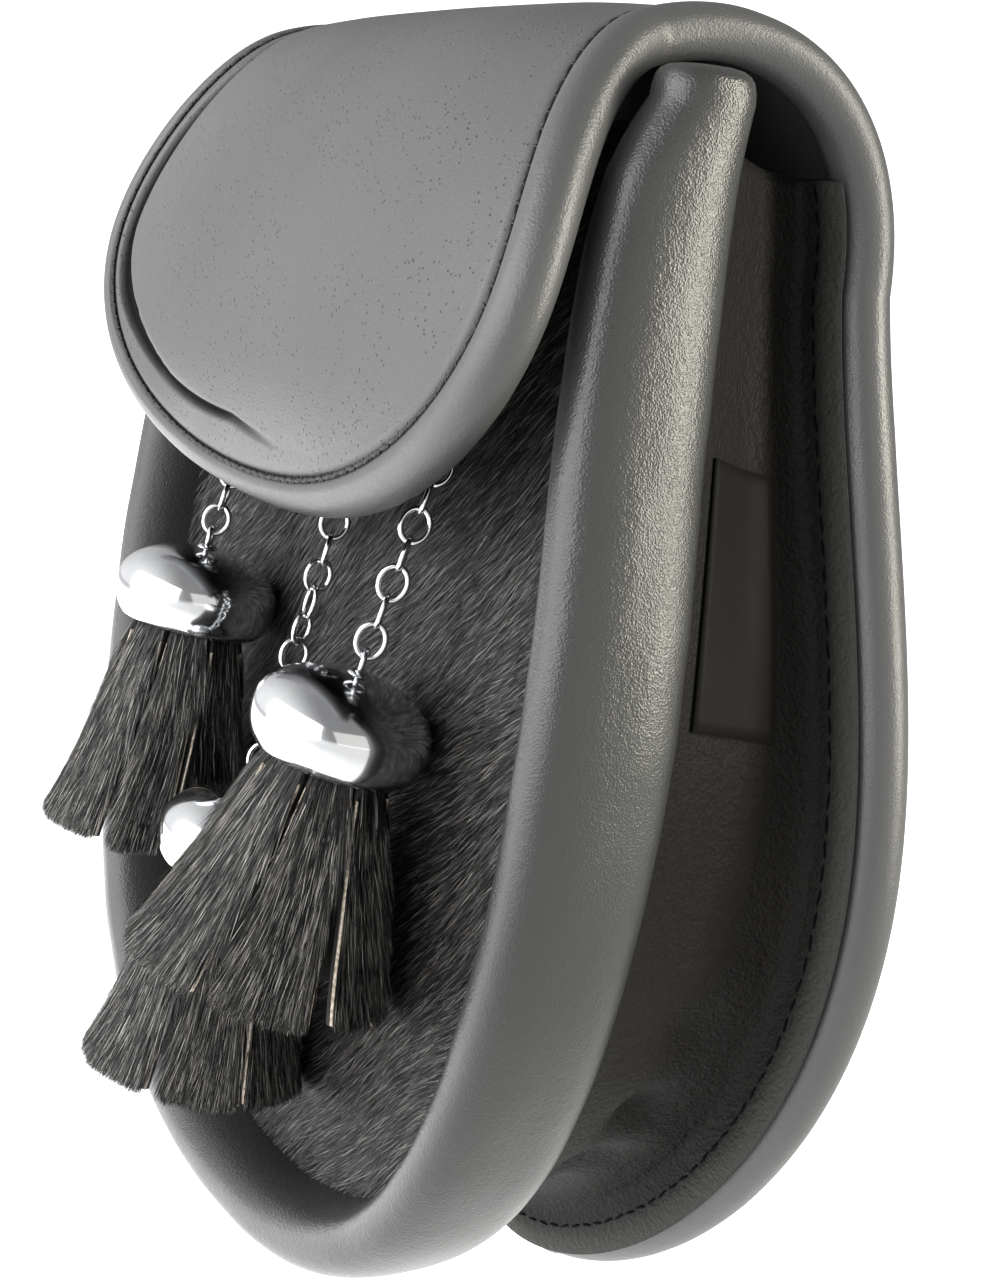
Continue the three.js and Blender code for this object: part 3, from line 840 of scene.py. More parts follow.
@dataclass(frozen=True)
class LeatherBend:
    """Side profile that the one leather of back, arch and flap follows."""

    arch: tuple = ((0.0, 63.0), (0.0, 93.3), (-22.1, 101.1), (-40.4, 95.0))
    flap: tuple = ((-40.4, 95.0), (-59.5, 89.3), (-73.4, 42.4), (-65.5, 25.6))
    spare: float = 25.0
    steps: int = 120

    def table(self) -> tuple[Array, Array, Array]:
        """Sample the bend.

        Returns:
            Lengths, (y, z) points and outward normals along it.
        """
        line = joined([bezier(self.arch, self.steps), bezier(self.flap, self.steps)])
        last = unit(line[-1] - line[-2])
        line = np.vstack([line, line[-1] + last * self.spare])
        run = np.concatenate([[0.0], np.cumsum(np.linalg.norm(np.diff(line, axis=0), axis=1))])
        tangent = unit(np.gradient(line, run, axis=0))
        tangent[-2:] = last
        return run, line, np.stack([tangent[:, 1], -tangent[:, 0]], axis=1)

    def place(self, across: Array, at: Array, lift: Array) -> Array:
        """Points of the leather.

        Args:
            across: Distances across, in x.
            at: Lengths along the leather from the fold.
            lift: Heights over the leather's middle line.

        Returns:
            Points in millimetres.
        """
        run, line, normal = self.table()
        down = at <= 0
        y = np.where(down, 0.0, np.interp(at, run, line[:, 0]))
        z = np.where(down, FOLD_HEIGHT + at, np.interp(at, run, line[:, 1]))
        ny = np.where(down, 1.0, np.interp(at, run, normal[:, 0]))
        nz = np.where(down, 0.0, np.interp(at, run, normal[:, 1]))
        return np.stack([across + 0 * y, y + ny * lift, z + nz * lift], axis=-1)


BEND = LeatherBend()


@dataclass
class BackAndFlap:
    """Back panel, arch and flap of one leather, with its rolled edge and raised middle."""

    back_drop: float = 178.0
    back_widest: Pair = (-85.3, 76.9)
    fold_half: float = 58.3
    waist: Pair = (62.2, 55.6)
    widest: Pair = (105.1, 68.7)
    flap_length: float = 140.6
    seam_table: tuple = ((-65, 1.6), (-20, 1.8), (10, 2.1), (45, 2.5))
    seam_lift: float = 2.9
    foot_table: tuple = ((-70, 8.6), (-50, 7.6), (-30, 6.6), (-5, 7.2), (25, 3.0))
    stations: int = 340
    density: tuple = ((-180, 1.0), (0, 1.3), (62, 1.5), (72, 2.5), (142, 2.5))
    field_columns: int = 92
    dense_columns: int = 30
    dense_width: float = 12.5
    inside_columns: int = 15
    channel_table: tuple = ((-70, 6.6), (-60, 5.4), (-50, 3.4), (-40, 2.0), (-30, 1.1), (-5, 0.5))
    roll_radii: tuple = ((-180, 4.8), (-20, 4.8), (20, 4.2), (45, 3.8), (85, 4.1), (142, 4.1))
    stitch_pitch: float = 2.7
    stitch: Pair = (2.6, 0.9)
    tick: Pair = (1.5, 0.4)
    step_span: Pair = (-10.0, -62.0)
    step_rise: float = 1.3
    rise_span: Pair = (22.0, 58.0)
    dome_rise: float = 1.1
    seam_depth: float = 0.5
    groove_end: Pair = (15.0, -12.0)
    groove_top: Pair = (4.0, 26.0)
    groove_depth: float = 1.2
    back_pad: float = 5.0
    flap_pad: float = 0.4
    lap: tuple = (4.0, 10.0, 0.35, 0.4)

    def edge(self) -> Array:
        """Half outline of the leather.

        Returns:
            Stations as (length, half width), closest where the flap is.
        """
        low, wide = self.back_widest
        line = joined([
            bezier([(-self.back_drop, 0), (-self.back_drop, 26.4), (-138, wide), (low, wide)], 60),
            bezier([(low, wide), (-56.3, wide), (-26.6, 62.8), (0, self.fold_half)], 40),
            bezier([(0, self.fold_half), (21.8, 59.2), (43.5, self.waist[1]), self.waist], 40),
            bezier([self.waist, (83.2, 62.1), (93.7, self.widest[1]), self.widest], 40),
            bezier([self.widest, (124, self.widest[1]), (self.flap_length, 42.6), (self.flap_length, 0)], 60),
        ])
        weight = looked_up((line[1:, 0] + line[:-1, 0]) / 2, self.density)
        run = np.concatenate([[0.0], np.cumsum(np.linalg.norm(np.diff(line, axis=0), axis=1) * weight)])
        want = np.linspace(0, run[-1], self.stations)
        return np.stack([np.interp(want, run, line[:, k]) for k in range(2)], axis=1)

    def outward(self, edge: Array) -> Array:
        """Outward directions of the outline.

        Args:
            edge: Half outline.

        Returns:
            A direction (length, across) for each station.
        """
        out = sideways(edge)
        out[0] = (-1.0, 0.0)
        out[-1] = (1.0, 0.0)
        return out

    def radius(self, at: Array) -> Array:
        """Radius of the edge roll.

        Args:
            at: Lengths along the leather.

        Returns:
            A radius for each.
        """
        return looked_up(at, self.roll_radii)

    def lap_step(self, edge: Array, way: float) -> Array:
        """Extra radius of the back's binding where its ends lap, at the bottom on the right.

        Args:
            edge: Half outline.
            way: 1 for the right side, -1 for the left.

        Returns:
            Extra radius at each station.
        """
        start, end, rise, soft = self.lap
        held = smoothstep(edge[:, 1], start, start + soft) * (1 - smoothstep(edge[:, 1], end - soft, end))
        return rise * held * (edge[:, 0] < self.back_widest[0]) * (way > 0)

    def inside(self, at: Array) -> Array:
        """Height of the inner face.

        Args:
            at: Lengths along the leather.

        Returns:
            A height for each: deep at the padded back, shallow at the flap.
        """
        return -(self.back_pad + (self.flap_pad - self.back_pad) * smoothstep(at, -15, 15))

    def seam_inset(self, across: Array) -> Array:
        """Distance of the seam from the outline, more on the right than on the left.

        Args:
            across: Distances across.

        Returns:
            A distance for each.
        """
        return looked_up(across, self.seam_table)

    def roll_section(self, r: Array, inner: Array, seam: Array) -> tuple[Array, Array]:
        """Section of the rolled edge from the seam over the roll to the inside.

        Args:
            r: Roll radius at each station.
            inner: Height of the inner face at each station.
            seam: Distance of the seam from the outline at each station.

        Returns:
            Sideways offsets and heights, stations by points.
        """
        puff = np.linspace(1.0, 0.0, 13)[:-1]
        side_top = -puff[None, :] * seam[:, None]
        low = self.seam_lift
        lift_top = low + (r[:, None] - low) * (1 - puff[None, :] ** 2.2)
        turn = np.radians(np.linspace(90, -150, 25))
        side_roll = r[:, None] * np.cos(turn)[None, :]
        lift_roll = r[:, None] * np.sin(turn)[None, :]
        lift_roll = np.where(np.cos(turn) < -0.3, np.minimum(lift_roll, inner[:, None]), lift_roll)
        side_in = np.tile([-6.8, -9.0], (len(r), 1))
        lift_in = np.tile(inner[:, None], (1, 2))
        return np.hstack([side_top, side_roll, side_in]), np.hstack([lift_top, lift_roll, lift_in])

    def crown(self, across: Array, at: Array, border: Array) -> tuple[Array, Array]:
        """Height that the flap's raised middle stands over the skin, and where its grooves and seam line get painted
        shadow.

        Args:
            across: Distances across.
            at: Lengths along the leather.
            border: Points (length, across) of the seam line, both sides.

        Returns:
            Heights in millimetres, and the mask of the painted shadow in the grooves and along the seam line.
        """
        flat = np.stack([at.ravel(), across.ravel()], axis=1)
        nearest = np.full(len(flat), 1e9)
        for start in range(0, len(border), 40):
            gap = np.linalg.norm(flat[:, None, :] - border[None, start:start + 40], axis=2)
            nearest = np.minimum(nearest, gap.min(axis=1))
        x, length = across.ravel(), at.ravel()
        foot = looked_up(x, self.foot_table)
        outer = foot - looked_up(x, self.channel_table)
        share = smoothstep(x, *self.step_span)
        amount = smoothstep(length, *self.rise_span)
        over = self.seam_lift - SKIN + 0.5
        brim = over * (1 - 0.5 * smoothstep(nearest, 0.5, 6.0))
        step = brim + smoothstep((nearest - foot) / 1.7, 0.0, 1.0) * self.step_rise * amount
        plain = over + 0.55 * smoothstep(nearest, 0.0, 26.0)
        dome = self.dome_rise * (1 - np.exp(-np.maximum(nearest - foot, 0) / 18)) * amount
        seam = np.exp(-((nearest - 0.1) / 0.75) ** 2)
        crease = smoothstep(length, *self.groove_top) * smoothstep(x, *self.groove_end)
        groove_and_shade = smoothstep(nearest - outer, -0.5, 0.3) * (1 - smoothstep(nearest - foot, 0.0, 0.9)) * crease
        height = step * share + plain * (1 - share) + dome - self.seam_depth * seam - self.groove_depth * groove_and_shade
        # The mask paints shadow along the seam line and in the channel at the foot of the raised middle.
        return height.reshape(at.shape), np.maximum(seam * 0.75, groove_and_shade).reshape(at.shape)

    def half_section(self, edge: Array, out: Array, way: float) -> dict[str, Array]:
        """Seam line and rolled edge of one side.

        Args:
            edge: Half outline.
            out: Its outward directions.
            way: 1 for the right side, -1 for the left.

        Returns:
            The seam's places and the roll's lengths, distances across, sideways offsets and heights.
        """
        seam = self.seam_inset(edge[:, 1] * way)
        radius = self.radius(edge[:, 0]) + self.lap_step(edge, way)
        side, lift = self.roll_section(radius, self.inside(edge[:, 0]), seam)
        at = edge[:, :1] + out[:, :1] * side
        across = np.maximum(edge[:, 1:] + out[:, 1:] * side, 0.0)
        ripple = 0.09 * soft_noise(at / 26, across * way / 60 + side / 9, 5)
        return {
            "seam_at": edge[:, 0] - out[:, 0] * seam,
            "seam_across": np.maximum(edge[:, 1] - out[:, 1] * seam, 0.0) * way,
            "at": at, "across": across * way, "side": side,
            "lift": lift + ripple * (np.abs(side) < 1.2),
        }

    def leather(self) -> Piece:
        """Closed skin of the back, arch and flap.

        Returns:
            The new piece.
        """
        edge = self.edge()
        out = self.outward(edge)
        right = self.half_section(edge, out, 1.0)
        left = self.half_section(edge, out, -1.0)
        width = right["seam_across"] - left["seam_across"]
        dense = np.minimum(self.dense_width / np.maximum(width, 1e-6), 0.4)[:, None]
        near = np.linspace(0, 1, self.dense_columns)[None, 1:] * dense
        rest = dense + (1 - dense) * np.linspace(0, 1, self.field_columns - self.dense_columns)[None, 1:-1]
        share = np.hstack([near, rest])
        field_at = left["seam_at"][:, None] * (1 - share) + right["seam_at"][:, None] * share
        field_across = left["seam_across"][:, None] * (1 - share) + right["seam_across"][:, None] * share
        border = np.stack([np.concatenate([right["seam_at"], left["seam_at"]]),
                           np.concatenate([right["seam_across"], left["seam_across"]])], axis=1)
        crown, groove_and_shade = self.crown(field_across, field_at, border)
        inside_share = np.linspace(0.86, -0.86, self.inside_columns)[None, :]
        inside_across = right["across"][:, -1:] * inside_share
        inside_at = np.repeat(right["at"][:, -1:], self.inside_columns, axis=1)
        inside_lift = np.repeat(self.inside(edge[:, 0])[:, None], self.inside_columns, axis=1)
        none = np.zeros_like
        at = np.hstack([field_at, right["at"], inside_at, left["at"][:, ::-1]])
        across = np.hstack([field_across, right["across"], inside_across, left["across"][:, ::-1]])
        height = np.hstack([SKIN + crown, right["lift"], inside_lift, left["lift"][:, ::-1]])
        field_mask = np.hstack([none(crown) + 1, none(right["lift"]), none(inside_lift), none(left["lift"])])
        # Painted shadow on the roll just beside the seam, joined with the painted shadow in the flap's grooves.
        seam_shade = [np.exp(-((half["side"] - half["side"][:, :1]) / 0.5) ** 2) * 0.7 for half in (right, left)]
        painted_shade_mask = np.hstack([groove_and_shade, seam_shade[0], none(inside_lift), seam_shade[1][:, ::-1]])
        return loft("leather_back_and_flap", to_row(BEND.place(across, at, height)), True, 1e-5,
                    {"field": field_mask, "groove_and_shade": painted_shade_mask})

    def stitch_frames(self, over: float, turn: float = 0.0, shift: float = 0.0) -> list[Matrix]:
        """Where stitches go along the seam, all the way round.

        Args:
            over: Height of the thread over the leather.
            turn: Turn of each stitch out of the line, in degrees.
            shift: Share of the pitch by which they are moved on.

        Returns:
            A matrix for each stitch, whose X runs along the line and whose Z points out.
        """
        edge = self.edge()
        out = self.outward(edge)
        sides = []
        for way in (1.0, -1.0):
            line = edge - out * self.seam_inset(edge[:, 1] * way)[:, None]
            sides.append(np.stack([line[:, 0], np.maximum(line[:, 1], 0) * way], axis=1))
        whole = np.vstack([sides[0], sides[1][::-1]])
        steps = np.linalg.norm(np.diff(whole, axis=0), axis=1).sum()
        count = int(steps / self.stitch_pitch)
        fine = evenly(whole, count * 4 + 1)
        dots = fine[int(round(shift * 4)):][::2]
        lift = np.full(len(dots), self.seam_lift + over)
        points = BEND.place(dots[:, 1], dots[:, 0], lift)
        above = BEND.place(dots[:, 1], dots[:, 0], lift + 1.0)
        return [self.frame_at(points, above, k, turn) for k in range(1, len(dots) - 1, 2)]

    @staticmethod
    def frame_at(points: Array, above: Array, k: int, turn: float = 0.0) -> Matrix:
        """Matrix at one point of a line.

        Args:
            points: The line's points, in millimetres.
            above: Points over them.
            k: Which point.
            turn: Turn out of the line, in degrees.

        Returns:
            The matrix, in the row frame.
        """
        along = unit(points[k + 1] - points[k - 1])
        up = unit(above[k] - points[k])
        up = unit(up - along * float(up @ along))
        side = np.cross(up, along)
        wobble = math.radians(turn + 9 * math.sin(k * 2.4))
        turned = along * math.cos(wobble) + side * math.sin(wobble)
        side = side * math.cos(wobble) - along * math.sin(wobble)
        matrix = Matrix([[*row, 0.0] for row in np.stack([turned, side, up], axis=1)] + [[0, 0, 0, 1]])
        matrix.translation = Vector(to_row(points[k]))
        return matrix

    def build(self, skin: Material, thread: Material) -> None:
        """Make and dress the leather and its stitches.

        Args:
            skin: Material of the leather.
            thread: Material of the stitches.
        """
        settle(self.leather(), skin, Slot.LEATHER, "back_flap")
        for name, shape, place in (("flap_stitches", self.stitch, (0.45,)), ("flap_stitch_ticks", self.tick,
                                                                           (0.5, 52.0, 0.5))):
            settle(scatter(name, stitch_shape(*shape), self.stitch_frames(*place)), thread, Slot.LEATHER)


def stitch_shape(length: float, thick: float) -> Mesh:
    """One stitch: a short swollen thread.

    Args:
        length: Its length in millimetres.
        thick: Its thickness in millimetres.

    Returns:
        The shape, along X, in metres.
    """
    bm = bmesh.new()
    bmesh.ops.create_uvsphere(bm, u_segments=6, v_segments=6, radius=0.5)
    bmesh.ops.rotate(bm, verts=bm.verts, cent=(0, 0, 0), matrix=Matrix.Rotation(math.pi / 2, 3, "Y"))
    bmesh.ops.scale(bm, verts=bm.verts, vec=(length * MM, thick * MM, thick * 0.8 * MM))
    return bm


@dataclass
class FrontFrame:
    """Thick padded roll in a U round the front panel."""

    top: Pair = (66.3, 87.0)
    widest: Pair = (74.2, -2.7)
    bottom: float = -97.2
    half_width: float = 5.9
    depths: tuple = (
        (-98, 12.4, 12.4), (0, 11.9, 11.9), (50, 11.0, 11.3), (66, 10.3, 11.0),
        (77, 8.4, 10.8), (82, 6.2, 10.7), (87, 3.4, 10.6),
    )
    roundness: float = 0.82
    ends: tuple = ((1.6, 0.985), (2.8, 0.94), (3.6, 0.86), (4.15, 0.72), (4.45, 0.5), (4.55, 0.25))
    count: int = 230
    sides: int = 48

    @staticmethod
    def plane(z: Array) -> Array:
        """Depth of the frame's middle plane.

        Args:
            z: Heights.

        Returns:
            A depth y for each.
        """
        return -49.53 + 0.0745 * z + 0.00017 * z * z

    def half_line(self) -> Array:
        """Half of the middle line.

        Returns:
            Points (x, z), from the top down.
        """
        x, z = self.widest
        return joined([
            bezier([self.top, (65, 60), (x, 22.5), (x, z)], 60),
            bezier([(x, z), (x, -63.4), (52.4, self.bottom), (0, self.bottom)], 80),
        ])

    def line(self) -> Array:
        """The whole middle line.

        Returns:
            Even points (x, z), from the right top to the left top.
        """
        return both_sides(self.half_line(), self.count)

    def depth(self, z: Array) -> tuple[Array, Array]:
        """How far the roll reaches from its plane.

        Args:
            z: Heights.

        Returns:
            Reaches in front and behind.
        """
        return looked_up(z, self.depths, 1), looked_up(z, self.depths, 2)

    def ring(self, point: Array, normal: Array, size: float, rise: float) -> Array:
        """One section of the roll, a rounded box.

        Args:
            point: Its middle (x, z).
            normal: Its direction across.
            size: Its share of the full size.
            rise: How far it is moved up.

        Returns:
            Its points.
        """
        z = min(float(point[1]), self.top[1])
        front, rear = self.depth(np.array(z))
        turn = 2 * np.pi * (np.arange(self.sides) + 0.5) / self.sides
        w, d = (np.sign(v) * np.abs(v) ** self.roundness for v in (np.cos(turn), np.sin(turn)))
        w, d = w * self.half_width * size, d * (front + rear) / 2 * size
        x = point[0] + normal[0] * w
        y = self.plane(z) + (rear - front) / 2 - d
        return np.stack([x, y, point[1] + rise + normal[1] * w], axis=1)

    def rows(self) -> Array:
        """Rings of the whole roll with its rounded ends.

        Returns:
            Rings by points, in millimetres.
        """
        line = self.line()
        normal = sideways(line)
        body = np.array([self.ring(p, n, 1.0, 0.0) for p, n in zip(line, normal)])
        places = np.arange(len(line))[:, None]
        around = np.arange(self.sides)[None] / self.sides
        wave = 0.14 * soft_noise(places / 26, around * 1.6, 9) + 0.07 * soft_noise(places / 9, around * 3, 21)
        centre = body.mean(axis=1, keepdims=True)
        body = body + unit(body - centre) * wave[..., None]
        ends = []
        for i in (0, -1):
            caps = [self.ring(line[i], normal[i], size, rise) for rise, size in self.ends]
            top = caps[-1].mean(axis=0, keepdims=True).repeat(self.sides, axis=0)
            ends.append([*caps, top])
        return np.concatenate([np.array(ends[0])[::-1], body, np.array(ends[1])])

    def build(self, skin: Material) -> None:
        """Make and dress the roll.

        Args:
            skin: Material of the leather.
        """
        piece = loft("front_frame_roll", to_row(self.rows()), True, 1e-5)
        settle(piece, skin, Slot.LEATHER, "front_frame")


@dataclass
class FurPanel:
    """Hide with short hair that fills the front frame."""

    frame_roll: FrontFrame
    thick: float = 2.5
    top: float = 84.0
    hairs: int = 64000
    halves: int = 2
    lean: Pair = (-0.66, -0.75)
    slope: float = 0.0745
    hair_length: Pair = (5.0, 8.6)
    hair_lift: Pair = (0.5, 1.9)

    def inner_half(self, z: Array, spare: float) -> Array:
        """Half width of the frame's opening.

        Args:
            z: Heights.
            spare: How much narrower than the opening.

        Returns:
            A half width for each.
        """
        half = self.frame_roll.half_line()
        inner = half - sideways(half) * (self.frame_roll.half_width + spare)
        order = np.argsort(inner[:, 1])
        return np.interp(z, inner[order, 1], inner[order, 0], left=0.0)

    def hide(self) -> Piece:
        """The skin under the hair.

        Returns:
            The new piece.
        """
        z = np.linspace(self.top, self.frame_roll.bottom + 7.4, 70)
        x = self.inner_half(z, 0.45)[:, None] * np.linspace(-1, 1, 33)[None]
        depth = self.frame_roll.plane(z)[:, None] + 0 * x
        outer = np.stack([x, depth, np.repeat(z[:, None], 33, axis=1)], axis=-1)
        inner = outer + np.array([0, self.thick, 0])
        return loft("fur_panel_hide", to_row(wall_rows(outer, inner)), True, 1e-5)

    def coat(self, part: int) -> Piece:
        """One share of the hair.

        Args:
            part: Which share.

        Returns:
            The joined hairs.
        """
        rng = np.random.default_rng(SEED + part)
        low = self.frame_roll.bottom + 7
        z = rng.uniform(low, self.top - 1, self.hairs * 2)
        x = rng.uniform(-70, 70, self.hairs * 2)
        keep = np.abs(x) < self.inner_half(z, -1.2)
        x, z = x[keep][:self.hairs], z[keep][:self.hairs]
        n = len(x)
        swirl = 0.22 * soft_noise(x / 60, z / 60, 31) + rng.normal(0, 0.09, n)
        lean = math.atan2(self.lean[0], -self.lean[1])
        angle = lean + swirl
        way = unit(np.stack([np.sin(angle), self.slope * -np.cos(angle), -np.cos(angle)], axis=1))
        normal = unit(np.tile([0.0, -1.0, self.slope], (n, 1)) + rng.normal(0, 0.35, (n, 3)) * [1, 0.2, 1])
        root = np.stack([x, self.frame_roll.plane(z), z], axis=1)
        length, lift, width = (rng.uniform(*span, n) for span in (self.hair_length, self.hair_lift, HAIR_WIDTH))
        clump = 0.5 + 0.5 * soft_noise(x / 9 + z / 30, z / 16, 77)
        # A few light hairs among the black ones are painted glints; the clumps add a faint random tone.
        tone_and_glint = np.clip(rng.random(n) ** 5 + 0.12 * (clump - 0.5), 0, 1)
        return strands(f"fur_panel_hair_{part + 1}", to_row(root), way, normal,
                       length * MM, width * MM, lift * MM, tone_and_glint)

    def build(self, hide: Material, fur: Material) -> None:
        """Make and dress the hide and its hair.

        Args:
            hide: Material of the skin.
            fur: Material of the hair.
        """
        settle(self.hide(), hide, Slot.FUR, "front_panel")
        for part in range(self.halves):
            settle(self.coat(part), fur, Slot.FUR)


@dataclass
class Gusset:
    """Leather side wall in a U, with its flange, folds and seam."""

    frame_roll: FrontFrame
    back: BackAndFlap
    top: float = 80.0
    thick: float = 1.4
    flange: float = -6.5
    sag: float = 2.2
    fold: float = 3.2
    count: int = 240
    columns: int = 40
    edge_thinning: float = 0.85
    rim_start: float = 1.06
    # Middle and width of the line of painted shadow along the crease, and the shares round the wall over which it
    # fades in.
    crease_shade_line: Pair = (0.97, 0.022)
    crease_shade_rows: Pair = (0.3, 0.37)
    patch_heights: Pair = (39.5, 1.5)
    patch_across: Pair = (0.17, 0.78)
    patch_lifts: Pair = (0.55, 0.1)
    stitches: int = 124
    stops: tuple = (0.0, 0.3, 0.62, 0.84, 0.93, 1.02, 1.11, 1.22, 1.34)

    def controls(self) -> Array:
        """Points across the wall at each row, from the frame to the flange's edge.

        Returns:
            Rows by stops by 3, in millimetres.
        """
        half = self.frame_roll.half_line()
        front = both_sides(half[half[:, 1] < self.top + 2], self.count)
        edge = self.back.edge()
        edge = np.stack([edge[:, 1], FOLD_HEIGHT + edge[:, 0]], axis=1)
        back = both_sides(edge[edge[:, 1] < self.top][::-1], self.count)
        nf, nb = sideways(front), sideways(back)
        rear = self.frame_roll.plane(front[:, 1]) + self.frame_roll.depth(front[:, 1])[1] + 2 * GAP
        start = np.stack([front[:, 0] - nf[:, 0] * 1.2, rear, front[:, 1] - nf[:, 1] * 1.2], axis=1)
        bend = BEND.place(np.zeros(self.count), back[:, 1] - FOLD_HEIGHT, np.zeros(self.count))[:, 1]
        share = np.linspace(0, 1, self.count)
        low = 1 - np.abs(2 * share - 1)
        deep = self.fold * smoothstep(low, 0.55, 1)

        def flange_point(side: float, y: float) -> Array:
            """Row of points beside the back's outline.

            Args:
                side: How far it is moved out.
                y: Its depth.

            Returns:
                The points.
            """
            return np.stack([back[:, 0] + nb[:, 0] * side, y + bend, back[:, 1] + nb[:, 1] * side], axis=1)

        corner = flange_point(-6.9, self.flange - 0.2)
        inward = np.stack([nb[:, 0], np.zeros(self.count), nb[:, 1]], axis=1)

        def sagged(along: float, depth: Array) -> Array:
            """Row of points of the wall.

            Args:
                along: Share of the way from the frame to the corner.
                depth: How far each point is drawn inwards.

            Returns:
                The points.
            """
            return start + (corner - start) * along - inward * depth[:, None]

        def fillet(t: float) -> Array:
            """Row of points of the soft turn from the wall to the flange.

            Args:
                t: Share of the turn.

            Returns:
                The points.
            """
            first, last = sagged(0.82, self.sag * 0.45 + deep * 0.4), flange_point(-3.6, self.flange)
            return first * (1 - t) ** 2 + corner * 2 * t * (1 - t) + last * t * t

        return np.stack([
            start, sagged(0.3, np.full(self.count, self.sag * 0.7)), sagged(0.62, self.sag + deep),
            fillet(0.0), fillet(0.33), fillet(0.67), fillet(1.0),
            flange_point(-0.8, self.flange - 0.05), flange_point(2.6, self.flange + 0.75),
        ], axis=1)

    def lines(self) -> Array:
        """Places of the wall's columns.

        Returns:
            Places across it, 0 at the frame and about 1 at the crease.
        """
        return np.linspace(0, self.stops[-1], self.columns)

    def wall(self) -> Array:
        """Smooth outer face.

        Returns:
            Rows by columns by 3, in millimetres.
        """
        controls = self.controls()
        stops = np.array(self.stops)
        want = self.lines()
        grid = np.stack([np.stack([smooth_line(stops, row[:, k], want) for k in range(3)], axis=1)
                         for row in controls])
        share = np.linspace(0, 1, self.count)[:, None]
        across = want[None, :]
        folds = self.fold_depth(share, across)
        return grid - surface_normals(grid) * folds[..., None] * self.facing(grid)

    @staticmethod
    def facing(grid: Array) -> float:
        """Which way the normals of the wall point.

        Args:
            grid: The wall's points.

        Returns:
            1 for out of the pouch, else -1.
        """
        return float(np.sign(surface_normals(grid)[6, 3, 0]))

    @staticmethod
    def fold_depth(share: Array, across: Array) -> Array:
        """Depth of the wall's dents and folds.

        Args:
            share: Share of the way round the wall.
            across: Place across the wall, 0 at the frame and 1 at the crease.

        Returns:
            Depths in millimetres, plus is inwards.
        """
        dents = (*WALL_DENTS, *((1 - row + 0.008, column, tall, wide, depth * 0.85)
                                for row, column, tall, wide, depth in WALL_DENTS))
        total = np.zeros(np.broadcast(share, across).shape)
        for row, column, tall, wide, depth in dents:
            total += depth * np.exp(-((share - row) / tall) ** 2 - ((across - column) / wide) ** 2)
        ease = smoothstep(across, 0, 0.12) * smoothstep(across, 1.02, 0.84)
        return (total + 0.3 * soft_noise(share * 6, across * 1.2, 12)) * ease

    def leather(self) -> Piece:
        """Closed wall with its flange.

        Returns:
            The new piece, with the masks rim, where the flange is painted lighter as painted light, and
            groove_and_shade, where a line along the crease is painted black as painted shadow.
        """
        outer = self.wall()
        facing = self.facing(outer)
        thin = self.thick * (1 - self.edge_thinning * smoothstep(self.lines(), 1.16, self.stops[-1]))
        inner = outer - surface_normals(outer) * thin[None, :, None] * facing
        rows = to_row(wall_rows(outer, inner))
        across = self.lines()[None, :]
        share = np.linspace(0, 1, self.count)[:, None]
        low = smoothstep(share, *self.crease_shade_rows) * smoothstep(1 - share, *self.crease_shade_rows)
        middle, width = self.crease_shade_line
        rim, groove_and_shade = np.zeros(rows.shape[:2]), np.zeros(rows.shape[:2])
        # Painted light: the flange, from rim_start out, is painted lighter.
        rim[1:-1, :self.columns] = smoothstep(across, self.rim_start, self.stops[-1])
        # Painted shadow: a thin black line along the crease, round the bottom of the U.
        groove_and_shade[1:-1, :self.columns] = np.exp(-((across - middle) / width) ** 2) * low
        return loft("gusset_wall", rows, True, 1e-5, {"rim": rim, "groove_and_shade": groove_and_shade})

    def patch(self) -> Piece:
        """Thin bare patch on the right wall.

        Returns:
            The new piece.
        """
        grid = self.wall()
        normals = surface_normals(grid) * self.facing(grid)
        right = grid[:self.count // 2]
        z_of = right[:, 6, 2]
        stops = self.lines()
        want = np.linspace(*self.patch_across, 12)
        rows = []
        for z in np.linspace(*self.patch_heights, 20):
            position = float(np.interp(-z, -z_of, np.arange(len(z_of))))
            i = int(position)
            t = position - i
            line = right[i] * (1 - t) + right[i + 1] * t
            up = normals[i] * (1 - t) + normals[i + 1] * t
            point, out = (np.stack([np.interp(want, stops, row[:, k]) for k in range(3)], axis=1)
                          for row in (line, up))
            rows.append([point + unit(out) * lift for lift in self.patch_lifts])
        outer, inner = np.array(rows).swapaxes(0, 1)
        return loft("bare_patch", to_row(wall_rows(outer, inner)), True, 1e-6)

    def seam_frames(self) -> list[Matrix]:
        """Where the stitches go along the flange.

        Returns:
            A matrix for each.
        """
        grid = self.controls()
        line = (grid[:, 6] * 0.62 + grid[:, 7] * 0.38) + [0, -0.1, 0]
        dots = evenly(line, 2 * self.stitches + 1)
        above = dots + [0, -1.0, 0]
        return [BackAndFlap.frame_at(dots, above, k) for k in range(1, len(dots) - 1, 2)]

    def build(self, skin: Material, bare: Material, thread: Material) -> None:
        """Make and dress the wall, the patch and the seam.

        Args:
            skin: Material of the wall.
            bare: Material of the patch.
            thread: Material of the stitches.
        """
        settle(self.leather(), skin, Slot.WALL, "gusset")
        settle(self.patch(), bare, Slot.WALL, "gusset_patch")
        settle(scatter("gusset_stitches", stitch_shape(2.9, 0.5), self.seam_frames()), thread, Slot.WALL)


